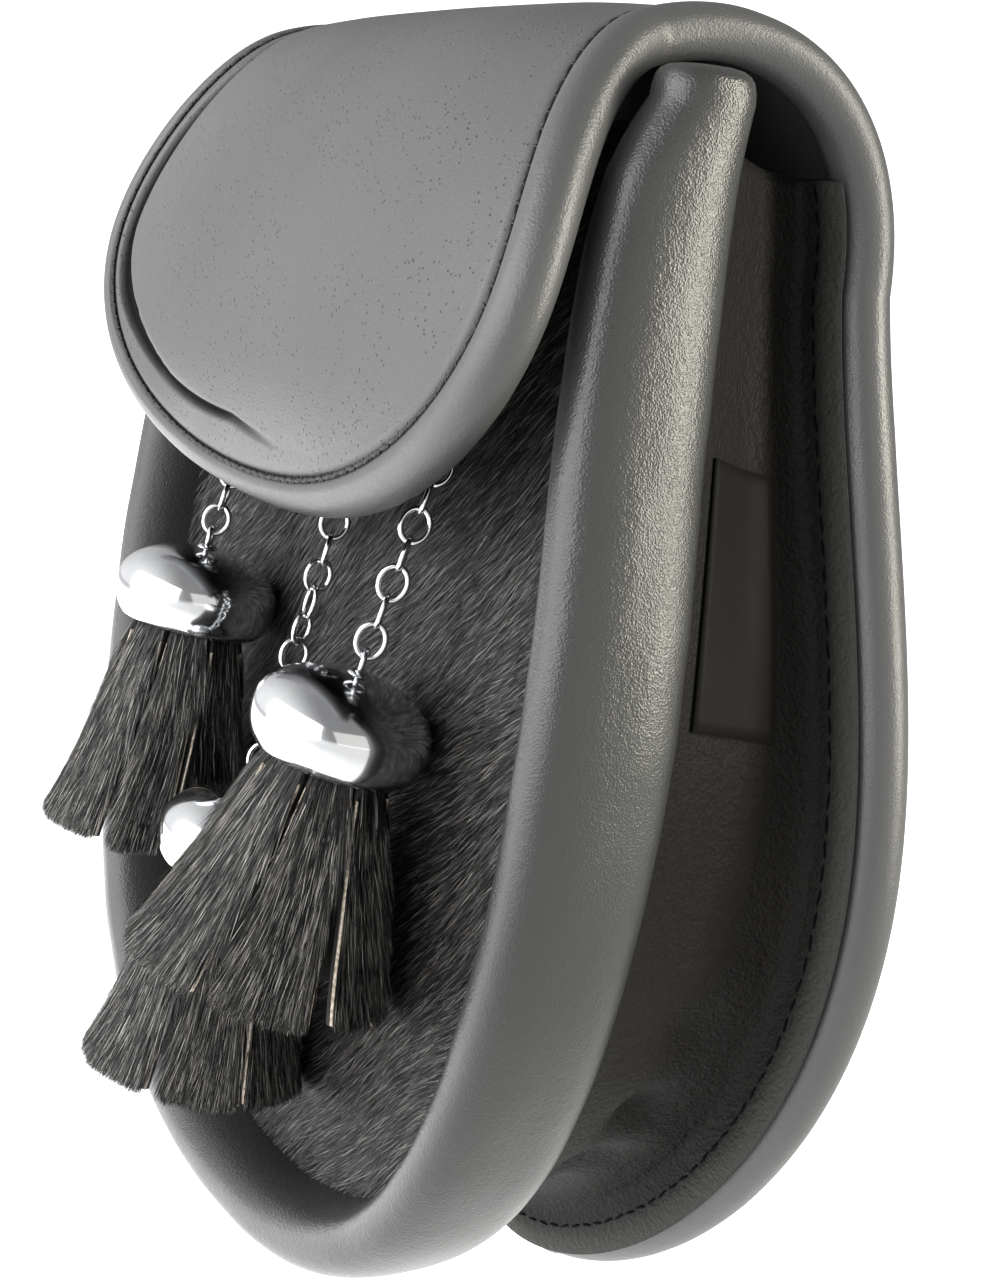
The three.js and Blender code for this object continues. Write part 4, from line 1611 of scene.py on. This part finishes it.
def smooth_line(stops: Array, values: Array, want: Array) -> Array:
    """Smooth curve through values at stops.

    Args:
        stops: Where the values lie.
        values: The values.
        want: Where results are wanted.

    Returns:
        The curve's values there.
    """
    slope = np.gradient(values, stops)
    i = np.clip(np.searchsorted(stops, want, side="right") - 1, 0, len(stops) - 2)
    h = stops[i + 1] - stops[i]
    t = np.clip((want - stops[i]) / h, 0, 1)
    a = (1 + 2 * t) * (1 - t) ** 2
    b = t * (1 - t) ** 2
    c = t * t * (3 - 2 * t)
    d = t * t * (t - 1)
    return a * values[i] + b * h * slope[i] + c * values[i + 1] + d * h * slope[i + 1]


@dataclass
class BeltLoop:
    """Strap on the back that a belt goes through."""

    width: float = 56.0
    height: float = 46.0
    thick: float = 2.2
    slot: float = 5.2
    foot: float = 9.0
    z: float = 45.0
    seat: float = 2.5

    def path(self) -> Array:
        """Middle line of the strap.

        Returns:
            Points (y, z), from the lower foot to the upper one.
        """
        half = self.height / 2
        low = self.seat + self.thick / 2
        high = self.seat + self.slot + self.thick / 2
        corners = np.array([
            (low, -half + 0.8), (low, -half + self.foot - 1.8), (high, -half + self.foot + 3.0),
            (high, half - self.foot - 3.0), (low, half - self.foot + 1.8), (low, half - 0.8),
        ])
        line = evenly(corners, 160)
        for _ in range(10):
            line[1:-1] = (line[:-2] + line[1:-1] * 2 + line[2:]) / 4
        return line

    def strap(self) -> Piece:
        """The closed strap with rounded edges.

        Returns:
            The new piece.
        """
        line = self.path()
        normal = -sideways(line)
        half = self.width / 2
        turn = np.radians(np.linspace(90, -90, 9))
        edge_x = half - 0.8 + 0.8 * np.cos(turn)
        edge_h = (self.thick / 2) * np.sin(turn)
        flat = np.linspace(-half + 2, half - 2, 15)
        xs = np.concatenate([flat, edge_x, flat[::-1], -edge_x[::-1]])
        hs = np.concatenate([np.full(15, self.thick / 2), edge_h, np.full(15, -self.thick / 2), edge_h[::-1]])
        xs_rows = np.tile(xs, (len(line), 1))
        rows = np.stack([
            xs_rows, line[:, :1] + normal[:, :1] * hs[None], self.z + line[:, 1:] + normal[:, 1:] * hs[None]], axis=-1)
        middle = np.stack([xs_rows * 0.99, line[:, :1] + 0 * xs_rows, self.z + line[:, 1:] + 0 * xs_rows], axis=-1)
        first = middle[:1] + [0, 0, -0.8]
        last = middle[-1:] + [0, 0, 0.8]
        return loft("belt_loop_strap", to_row(np.concatenate([first, rows, last])), True, 1e-5)

    def seam_frames(self) -> list[Matrix]:
        """Where the stitches go, in two rows on each foot.

        Returns:
            A matrix for each.
        """
        frames: list[Matrix] = []
        y = self.seat + self.thick + 0.1
        half = self.height / 2
        for low in (-half + 2.2, half - 2.2):
            inner = low + math.copysign(3.4, -low)
            for z, count in ((low, 17), (inner, 17)):
                for x in np.linspace(-self.width / 2 + 3, self.width / 2 - 3, count):
                    turn = Matrix([[1, 0, 0], [0, 0, 1], [0, -1, 0]]).to_4x4()
                    turn.translation = Vector(to_row(np.array([x, y, self.z + z])))
                    frames.append(turn)
        return frames

    def build(self, skin: Material, thread: Material) -> None:
        """Make and dress the strap and its stitches.

        Args:
            skin: Material of the strap.
            thread: Material of the stitches.
        """
        settle(self.strap(), skin, Slot.LEATHER, "belt_loop")
        settle(scatter("belt_loop_stitches", stitch_shape(2.4, 0.5), self.seam_frames()), thread, Slot.LEATHER)


@dataclass
class Drop:
    """One chain, cap and tassel."""

    name: str
    cap: Point
    tip: Point
    flare: float
    anchor: Pair
    turns: tuple[float, ...]
    frame_roll: FrontFrame
    cap_up: float = 8.6
    cap_down: float = 5.2
    cap_radius: float = 14.0
    rim: float = 11.9
    belly: float = 0.9
    collar: Point = (2.4, 1.3, 1.4)
    eye_radius: float = 1.9
    eye_wire: float = 0.45
    eye_lift: float = 1.9
    link_half: float = 2.55
    link_side: float = 2.15
    link_wire: float = 0.45
    drawn_wire: float = 0.2
    bite: float = 0.22
    facing: float = 58.0
    hook: float = 0.75
    strips: int = 8
    start: float = -5.6
    softness: float = 3.5
    give_heights: Pair = (8.0, 20.0)
    give_radius: float = 15.2
    give_band: float = 7.0
    give_centre: Pair = (0.5, -68.4)
    top_radius: float = 8.8
    top_width: float = 6.5
    end_width: float = 0.75
    hide_top: float = 0.35
    hair_length: Pair = (7.0, 11.5)
    hair_lift: Pair = (0.3, 1.5)
    hairs: int = 60000
    seed: int = 1

    @property
    def centre(self) -> Array:
        """Middle of the cap.

        Returns:
            A point in millimetres.
        """
        return np.array(self.cap, float)

    @property
    def length(self) -> float:
        """Length from the cap's middle to the tassel's end.

        Returns:
            The length in millimetres.
        """
        return float(np.linalg.norm(self.centre - np.array(self.tip)))

    @property
    def axis(self) -> Array:
        """Direction from the tassel's end up to the cap.

        Returns:
            A unit vector.
        """
        return unit(self.centre - np.array(self.tip, float))

    @property
    def eye(self) -> Array:
        """Middle of the ring on the cap.

        Returns:
            A point in millimetres.
        """
        return self.centre + self.axis * (self.cap_up + self.eye_lift)

    @property
    def ring(self) -> Array:
        """Middle of the staple's ring under the flap.

        Returns:
            A point in millimetres.
        """
        x, z = self.anchor
        return np.array([x, self.frame_roll.plane(z) - GAP - 1.0 - 3.0, z])

    def wire_ring(self, centre: Array, way: Array, degrees: float, half: float, side: float,
                  wire: float, segments: int = 28, sides: int = 10) -> Mesh:
        """An oval ring of round wire.

        Args:
            centre: Its middle, in millimetres.
            way: Its long direction.
            degrees: Turn about that direction.
            half: Half its long inside-middle length.
            side: Half its short length.
            wire: Radius of the wire.
            segments: Steps round the ring.
            sides: Sides of the wire.

        Returns:
            The ring, in metres in the row frame.
        """
        bm = bmesh.new()
        upright = Matrix.Translation((1.0, 0.0, 0.0)) @ Matrix.Rotation(math.pi / 2, 4, "X")
        made = bmesh.ops.create_circle(bm, segments=sides, radius=self.drawn_wire, matrix=upright)
        edges = list({e for v in made["verts"] for e in v.link_edges})
        bmesh.ops.spin(bm, geom=made["verts"] + edges, cent=(0, 0, 0), axis=(0, 0, 1),
                       angle=2 * math.pi, steps=segments, use_merge=True)
        turn = turn_to(way) @ np.array(Matrix.Rotation(math.radians(degrees), 3, "Z"))
        for vert in bm.verts:
            around = math.atan2(vert.co.y, vert.co.x)
            out = (math.hypot(vert.co.x, vert.co.y) - 1) / self.drawn_wire
            local = np.array([
                math.cos(around) * (side + out * wire), -vert.co.z / self.drawn_wire * wire,
                math.sin(around) * (half + out * wire)])
            vert.co = Vector(to_row(turn @ local + centre))
        return bm

    def plan(self) -> tuple[Array, int, float]:
        """Lay out the chain.

        Returns:
            Its direction, its number of links and the distance between them.
        """
        run = self.ring - self.eye
        total = float(np.linalg.norm(run))
        step = 2 * self.link_half - 2 * self.link_wire + self.bite
        count = round((total - 2 * self.hook - 2 * self.link_half) / step) + 1
        pitch = (total - 2 * self.hook - (2 * self.link_wire - self.bite)) / count
        return unit(run), count, pitch

    def chain(self) -> Piece:
        """The links, interlocked.

        Returns:
            The new piece.
        """
        way, count, pitch = self.plan()
        half = (pitch + 2 * self.link_wire - self.bite) / 2
        whole = bmesh.new()
        for i in range(count):
            centre = self.eye + way * (self.hook + half + i * pitch)
            turn = self.turns[i % len(self.turns)] + self.facing
            link = self.wire_ring(centre, way, turn, half, self.link_side, self.link_wire)
            pour(link, whole)
        return finish_mesh(whole, f"chain_links_{self.name}", 1e-7)

    def cap_shell(self) -> Piece:
        """The domed cap with its small collar and ring.

        Returns:
            The new piece.
        """
        turn = np.radians(np.linspace(90, 0, 15))
        dome = self.belly + (self.cap_up - self.belly) * np.sin(turn)
        upper = np.stack([self.cap_radius * np.cos(turn), dome], axis=1)
        lower = bezier([(self.cap_radius, self.belly), (self.cap_radius, -1.9), (13.3, -3.9),
                        (self.rim, -self.cap_down)], 10)
        inner = np.array([(self.rim - 0.5, -self.cap_down - 0.2), (self.rim - 1, -self.cap_down), (11.5, 1.0),
                          (8.5, 5.0), (0.0, 6.2)])
        line = np.vstack([upper, lower[1:], inner])
        bm = bmesh.new()
        verts = [bm.verts.new((max(float(x), 0.0), 0.0, float(z))) for x, z in line]
        edges = [bm.edges.new(pair) for pair in zip(verts, verts[1:])]
        bmesh.ops.spin(bm, geom=verts + edges, cent=(0, 0, 0), axis=(0, 0, 1), angle=2 * math.pi, steps=64,
                       use_merge=True)
        lift = Matrix.Translation((0, 0, self.cap_up - 0.1))
        low, high, tall = self.collar
        bmesh.ops.create_cone(bm, cap_ends=True, segments=24, radius1=low, radius2=high, depth=tall, matrix=lift)
        place = turn_to(self.axis)
        for vert in bm.verts:
            vert.co = Vector(to_row(place @ np.array(vert.co) + self.centre))
        turns = self.turns[0] + self.facing + 90
        loop = self.wire_ring(self.eye, self.axis, turns, self.eye_radius, self.eye_radius, self.eye_wire)
        pour(loop, bm)
        return finish_mesh(bm, f"cap_shell_{self.name}", 1e-6)

    def before_panel(self, v: Array) -> Array:
        """Push points softly forward of the panel.

        Args:
            v: Points in millimetres.

        Returns:
            The moved points.
        """
        face = self.frame_roll.plane(v[:, 2]) - GAP - 1.2
        over = v[:, 1] - (face - self.softness)
        v = v.copy()
        v[:, 1] = np.where(over > 0, face - self.softness * np.exp(-over / self.softness), v[:, 1])
        return v

    def rested(self, v: Array) -> Array:
        """Let the points of a side drop give way to the panel and to the middle drop.

        Args:
            v: Points in millimetres.

        Returns:
            The moved points.
        """
        v = self.before_panel(v)
        if self.name == "middle":
            return v
        depth = smoothstep(-v[:, 2], *self.give_heights)
        near = self.give_radius + np.clip((-v[:, 2] - 40) * 0.25, 0, 6)
        far = near + self.give_band
        centre = np.array(self.give_centre)
        flat = v[:, :2] - centre
        distance = np.maximum(np.linalg.norm(flat, axis=1), 1e-6)
        target = near + (distance / far) * (far - near)
        factor = np.where(distance < far, 1 + (target / distance - 1) * depth, 1.0)
        v[:, :2] = centre + flat * factor[:, None]
        return self.before_panel(v)

    def strip_point(self, k: Array, share: Array, across: Array, lift: Array) -> Array:
        """Points of the hide strips.

        Args:
            k: Which strip each point lies on.
            share: Share of the way down it.
            across: Place across it, -1 to 1.
            lift: Height over its middle.

        Returns:
            Points in millimetres.
        """
        rng = np.random.default_rng(self.seed)
        angle_shift = rng.normal(0, 0.05, self.strips)
        end_shift = rng.uniform(-0.6, 0.6, self.strips)
        angle = 2 * np.pi * (k + 0.5) / self.strips + angle_shift[k] * share
        ends = np.where(k % 2 == 1, 0.0, 1.2) + end_shift[k]
        z = self.start + (-(self.length - ends) - self.start) * share
        down = np.clip(share, 0, None)
        radius = self.top_radius + (self.flare - self.top_radius) * down**1.15
        width = (self.top_width + (self.end_width * self.flare - self.top_width) * share) / 2
        layer = np.where(k % 2 == 1, 0.0, 0.9 * share)
        curl = -0.9 * across**2 * share
        wave = 0.5 * np.sin(share * 5 + k * 1.7) * share
        r = radius + lift + layer + curl + wave
        x = np.cos(angle) * r - np.sin(angle) * width * across
        y = np.sin(angle) * r + np.cos(angle) * width * across
        local = np.stack([x, y, z], axis=-1).reshape(-1, 3)
        placed = local @ turn_to(self.axis).T + self.centre
        return self.rested(placed).reshape(*np.shape(x), 3)

    def add_band(self, whole: Mesh, k: int, share: Array, across: Array, lifts: Pair, merge: float) -> None:
        """Add a closed band along one strip.

        Args:
            whole: The bmesh that takes it.
            k: Which strip.
            share: Shares of the way down it.
            across: Places across it.
            lifts: Heights of its outer and inner face.
            merge: Distance under which points become one.
        """
        down, wide = np.meshgrid(share, across, indexing="ij")
        faces = [self.strip_point(np.full(down.shape, k), down, wide, np.full(down.shape, lift)) for lift in lifts]
        self.append(whole, loft("band", to_row(wall_rows(*faces)), True, merge))

    def hide(self) -> Piece:
        """Strips of hide and the core that they hang round, joined.

        Returns:
            The new piece.
        """
        whole = bmesh.new()
        share, across = np.linspace(0, 1, 14), np.linspace(-1, 1, 7)
        for k in range(self.strips):
            self.add_band(whole, k, share, across, (self.hide_top, -0.55), 1e-6)
        turn = np.linspace(0, 2 * np.pi, 25)[:-1]
        down = np.linspace(0, 1, 8)
        radius = self.top_radius - 0.5 + (self.flare * 0.62 - self.top_radius + 0.5) * down
        z = -6 + (-(self.length - 4) + 6) * down
        core = np.stack([radius[:, None] * np.cos(turn), radius[:, None] * np.sin(turn),
                         z[:, None] + 0 * turn[None]], axis=-1)
        core = np.concatenate([core[:1] * [0, 0, 1] + [0, 0, 9.0], core, core[-1:] * [0, 0, 1]])
        placed = core.reshape(-1, 3) @ turn_to(self.axis).T + self.centre
        self.append(whole, loft("core", to_row(self.rested(placed).reshape(core.shape)), True, 1e-6))
        return finish_mesh(whole, f"tassel_hide_{self.name}", 1e-8)

    @staticmethod
    def append(bm: Mesh, piece: Piece) -> None:
        """Move a piece's mesh into a bmesh.

        Args:
            bm: The bmesh that takes it.
            piece: The piece, which is removed.
        """
        bm.from_mesh(piece.data)
        mesh = piece.data
        bpy.data.objects.remove(piece)
        bpy.data.meshes.remove(mesh)

    def raw_edges(self) -> Piece:
        """Pale cut edges down the sides of the strips, joined.

        Returns:
            The new piece.
        """
        whole = bmesh.new()
        share = np.linspace(0.06, 0.995, 18)
        for k in range(self.strips):
            for side in (-1.0, 1.0):
                self.add_band(whole, k, share, np.array([side * 0.985, side * 1.012]), (0.7, 0.2), 1e-7)
        return finish_mesh(whole, f"tassel_raw_edges_{self.name}", 1e-8)

    def coat(self) -> Piece:
        """Hair of the strips, running down and over their ends.

        Returns:
            The joined hairs.
        """
        rng = np.random.default_rng(SEED + 10 * self.seed)
        n = self.hairs
        k = rng.integers(0, self.strips, n)
        share = rng.uniform(0.0, 1.0, n)
        across = rng.uniform(-0.93, 0.93, n)
        low = np.full(n, self.hide_top)
        root = self.strip_point(k, share, across, low)
        ahead = self.strip_point(k, share + 0.03, across * 1.01, low)
        beside = self.strip_point(k, share, across + 0.04, low)
        out = self.strip_point(k, share, across, low + 1.0)
        way = unit(ahead - root)
        normal = unit(out - root)
        sideways = unit(beside - root)
        sway = rng.normal(0, 0.07, n) + 0.1 * np.sin(k * 2.1 + share * 4)
        way = unit(way + sideways * sway[:, None])
        normal = unit(normal + sideways * rng.normal(0, 0.3, n)[:, None])
        left = (1.0 - share) * (self.length - 6)
        length = np.minimum(rng.uniform(*self.hair_length, n), left + rng.uniform(-0.2, 1.2, n))
        lift = rng.uniform(*self.hair_lift, n)
        width = rng.uniform(*HAIR_WIDTH, n)
        # A few light hairs among the black ones are painted glints; each strip adds a faint tone of its own.
        tone_and_glint = np.clip(rng.random(n) ** 6 + 0.03 * np.sin(k * 3.3 + across * 4), 0, 1)
        return strands(f"tassel_hair_{self.name}", to_row(root), way, normal,
                       length * MM, width * MM, lift * MM, tone_and_glint)

    def build(self, chrome: Material, hide: Material, raw: Material,
              fur: Material) -> None:
        """Make and dress the chain, the cap and the tassel.

        Args:
            chrome: Material of the metal.
            hide: Material of the strips.
            raw: Material of their cut edges.
            fur: Material of the hair.
        """
        settle(self.chain(), chrome, Slot.CHROME, f"chain_{self.name}")
        settle(self.cap_shell(), chrome, Slot.CHROME, f"cap_{self.name}")
        settle(self.hide(), hide, Slot.FUR, f"tassel_{self.name}")
        settle(self.raw_edges(), raw, Slot.FUR)
        settle(self.coat(), fur, Slot.FUR)
        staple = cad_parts[f"chain_anchor_{self.name}"]
        staple.data.materials.clear()
        staple.data.materials.append(chrome)


@dataclass(frozen=True)
class SoftBox:
    """One area light that faces the pouch."""

    name: str
    place: Point
    size: Pair
    watts: float
    colour: Colour
    aim: Point = (0.0, -0.03, -0.05)

    def build(self) -> None:
        """Add the light."""
        data = bpy.data.lights.new(self.name, "AREA")
        data.shape = "RECTANGLE"
        data.size, data.size_y = self.size
        data.energy = self.watts
        data.color = self.colour
        lamp = bpy.data.objects.new(self.name, data)
        lamp.location = self.place
        lamp.rotation_euler = (Vector(self.aim) - Vector(self.place)).to_track_quat("-Z", "Y").to_euler()
        bpy.context.scene.collection.objects.link(lamp)


@dataclass
class Studio:
    """Pale floor, soft lights and the camera."""

    floor_z: float = -0.176
    camera_at: Point = (0.282866, -0.202070, 0.026101)
    camera_right: Point = (0.5099549, 0.85515803, 0.09300932)
    camera_up: Point = (-0.23195883, 0.0325867, 0.97217962)
    camera_back: Point = (0.8283362, -0.51734233, 0.21497919)
    lens: float = 55.27
    white: float = 1.6
    pool_at: Pair = (-0.42, -0.3)
    pool: tuple[float, float, float, float] = (0.3, 0.75, 2.9, 0.5)
    sky_glow: tuple[float, float, float, float] = (-0.8, 0.0, 1.25, 0.33)
    boxes: tuple[SoftBox, ...] = (
        SoftBox("left_box", (0.0, -1.03, 0.16), (1.7, 1.35), 30.0, (0.97, 0.98, 1.0)),
        SoftBox("rear_box", (0.67, 0.7, 0.2), (0.28, 1.0), 18.0, (1.0, 0.97, 0.84)),
        SoftBox("side_fill", (1.0, -0.1, 0.05), (1.0, 1.0), 2.0, (1.0, 0.97, 0.93)),
    )

    def seen_white(self, s: Shader, glow: Socket) -> Socket:
        """Strength that is plain white to the eye and keeps its own glow for everything else.

        Args:
            s: Helper of the tree.
            glow: Strength for all but the eye.

        Returns:
            The strength's socket.
        """
        eye = s.add("ShaderNodeLightPath").outputs["Is Camera Ray"]
        plain = s.math("MULTIPLY", s.math("SUBTRACT", 1.0, eye), glow)
        return s.math("ADD", plain, s.math("MULTIPLY", eye, self.white))

    def floor_light(self, s: Shader, place: Socket) -> Socket:
        """Pool of light on the floor before the pouch.

        Args:
            s: Helper of the tree.
            place: Place on the floor.

        Returns:
            The strength's socket.
        """
        away = s.add("ShaderNodeVectorMath", operation="DISTANCE")
        s.link(place, away.inputs[0])
        away.inputs[1].default_value = (*self.pool_at, self.floor_z)
        return s.span(away.outputs["Value"], *self.pool)

    def sky_light(self, s: Shader, way: Socket) -> Socket:
        """Sky that is brighter on the picture's left than on its right.

        Args:
            s: Helper of the tree.
            way: Direction of the sky.

        Returns:
            The strength's socket.
        """
        right = s.add("ShaderNodeVectorMath", operation="DOT_PRODUCT")
        s.link(way, right.inputs[0])
        right.inputs[1].default_value = self.camera_right
        return s.span(right.outputs["Value"], *self.sky_glow)

    def backdrop(self) -> None:
        """Pale floor under the pouch, which glows: plain white to the eye, and a pool of light before the pouch for
        everything else.
        """
        made, s, principled = new_material("glowing_floor")
        place = s.place()
        s.link(s.blend(s.noise(place, 3.0, 2.0), (0.3, 0.3, 0.3), (0.34, 0.34, 0.34)), principled.inputs["Base Color"])
        principled.inputs["Roughness"].default_value = 0.9
        principled.inputs["Emission Color"].default_value = (1.0, 1.0, 1.0, 1.0)
        s.link(self.seen_white(s, self.floor_light(s, place)), principled.inputs["Emission Strength"])
        steps = np.linspace(-3.0, 3.0, 9)
        rows = [[[x, y, self.floor_z] for x in steps] for y in steps]
        floor = loft("pale_floor", np.array(rows), False)
        floor.data.materials.append(made)

    def camera(self) -> None:
        """Place the camera as the picture was taken."""
        data = bpy.data.cameras.new("camera")
        data.lens = self.lens
        data.sensor_width = 36.0
        data.clip_start = 0.01
        eye = bpy.data.objects.new("camera", data)
        columns = (self.camera_right, self.camera_up, self.camera_back)
        eye.matrix_world = Matrix.Translation(self.camera_at) @ Matrix(columns).transposed().to_4x4()
        bpy.context.scene.collection.objects.link(eye)
        bpy.context.scene.camera = eye

    def build(self) -> None:
        """Make the whole studio."""
        self.backdrop()
        for box in self.boxes:
            box.build()
        world = bpy.data.worlds.new("studio")
        world.use_nodes = True
        background = world.node_tree.nodes["Background"]
        background.inputs["Color"].default_value = (1.0, 1.0, 1.0, 1.0)
        s = Shader(world.node_tree)
        way = s.add("ShaderNodeTexCoord").outputs["Generated"]
        s.link(self.seen_white(s, self.sky_light(s, way)), background.inputs["Strength"])
        bpy.context.scene.world = world
        bpy.context.scene.view_settings.view_transform = "Standard"
        self.camera()


def main() -> None:
    """Build the pouch, its finishes and the studio, in order."""
    smooth = LeatherFinish("rolled_leather", (0.022, 0.022, 0.0215), (0.036, 0.0357, 0.035), (0.26, 0.38),
                           relief=0.00017, pore_shade=0.0)
    # Back and flap leather: the same black hide as the rolled leather, painted lighter as painted light on the flap.
    flap = LeatherFinish("flap_leather_painted_light", (0.05, 0.05, 0.051), (0.07, 0.07, 0.071), (0.34, 0.46),
                         pore_depth=2.2, pore_shade=0.25, relief=0.00012, seamed=True)
    wall = LeatherFinish("gusset_leather", (0.0055, 0.005, 0.0046), (0.011, 0.0102, 0.0094), (0.5, 0.64),
                         pebble=1700.0, crease=1.0, relief=0.0005, specular=0.09, rimmed=True)
    bare = LeatherFinish("patch_leather", (0.0055, 0.005, 0.0046), (0.011, 0.0102, 0.0094), (0.5, 0.62),
                         relief=0.00005, specular=0.055)
    rolled = smooth.material()
    thread = ThreadFinish("black_thread").material()
    dull = ThreadFinish("dull_thread", (0.001, 0.001, 0.001), (0.004, 0.0035, 0.004), 0.03).material()
    chrome = ChromeFinish("polished_plate").material()
    fur = FurFinish("black_fur").material()
    # Tassel hair: its painted glints much lighter than the panel's, as painted light.
    coat = FurFinish("tassel_fur_painted_glints", (0.004, 0.0038, 0.0036), (0.5, 0.48, 0.45), 0.38).material()
    hide = HideFinish("dark_hide", (0.004, 0.0035, 0.003), (0.012, 0.01, 0.009)).material()
    raw = HideFinish("raw_hide_edge", (0.3, 0.24, 0.18), (0.62, 0.55, 0.46), 1600.0).material()

    back = BackAndFlap()
    back.build(flap.material(), thread)
    roll = FrontFrame()
    roll.build(rolled)
    FurPanel(roll).build(hide, fur)
    Gusset(roll, back).build(wall.material(), bare.material(), dull)
    BeltLoop().build(rolled, thread)
    drops = (
        Drop("left", (-30, -64.3, 0.1), (-31, -71.5, -41.9), 15.8, (-32, 45),
             (0, 90, 8, 84, 0, 100, 30, 112, 40, 90), roll, seed=1),
        Drop("middle", (0.5, -66.4, -34.4), (-0.5, -72, -73.6), 17.0, (0, 26),
             (0, 90, -4, 84, 22, 60, 112, 30, 95, 10, 90, 0), roll, seed=2),
        Drop("right", (30, -65.3, -7), (25.3, -73.9, -46.5), 19.2, (31, 40),
             (0, 90, -3, 88, 4, 92, 0, 90, -5, 86, 0, 90), roll, seed=3),
    )
    for drop in drops:
        drop.build(chrome, hide, raw, coat)
    Studio().build()
    log.info("sizes written")


if __name__ == "__main__":
    main()
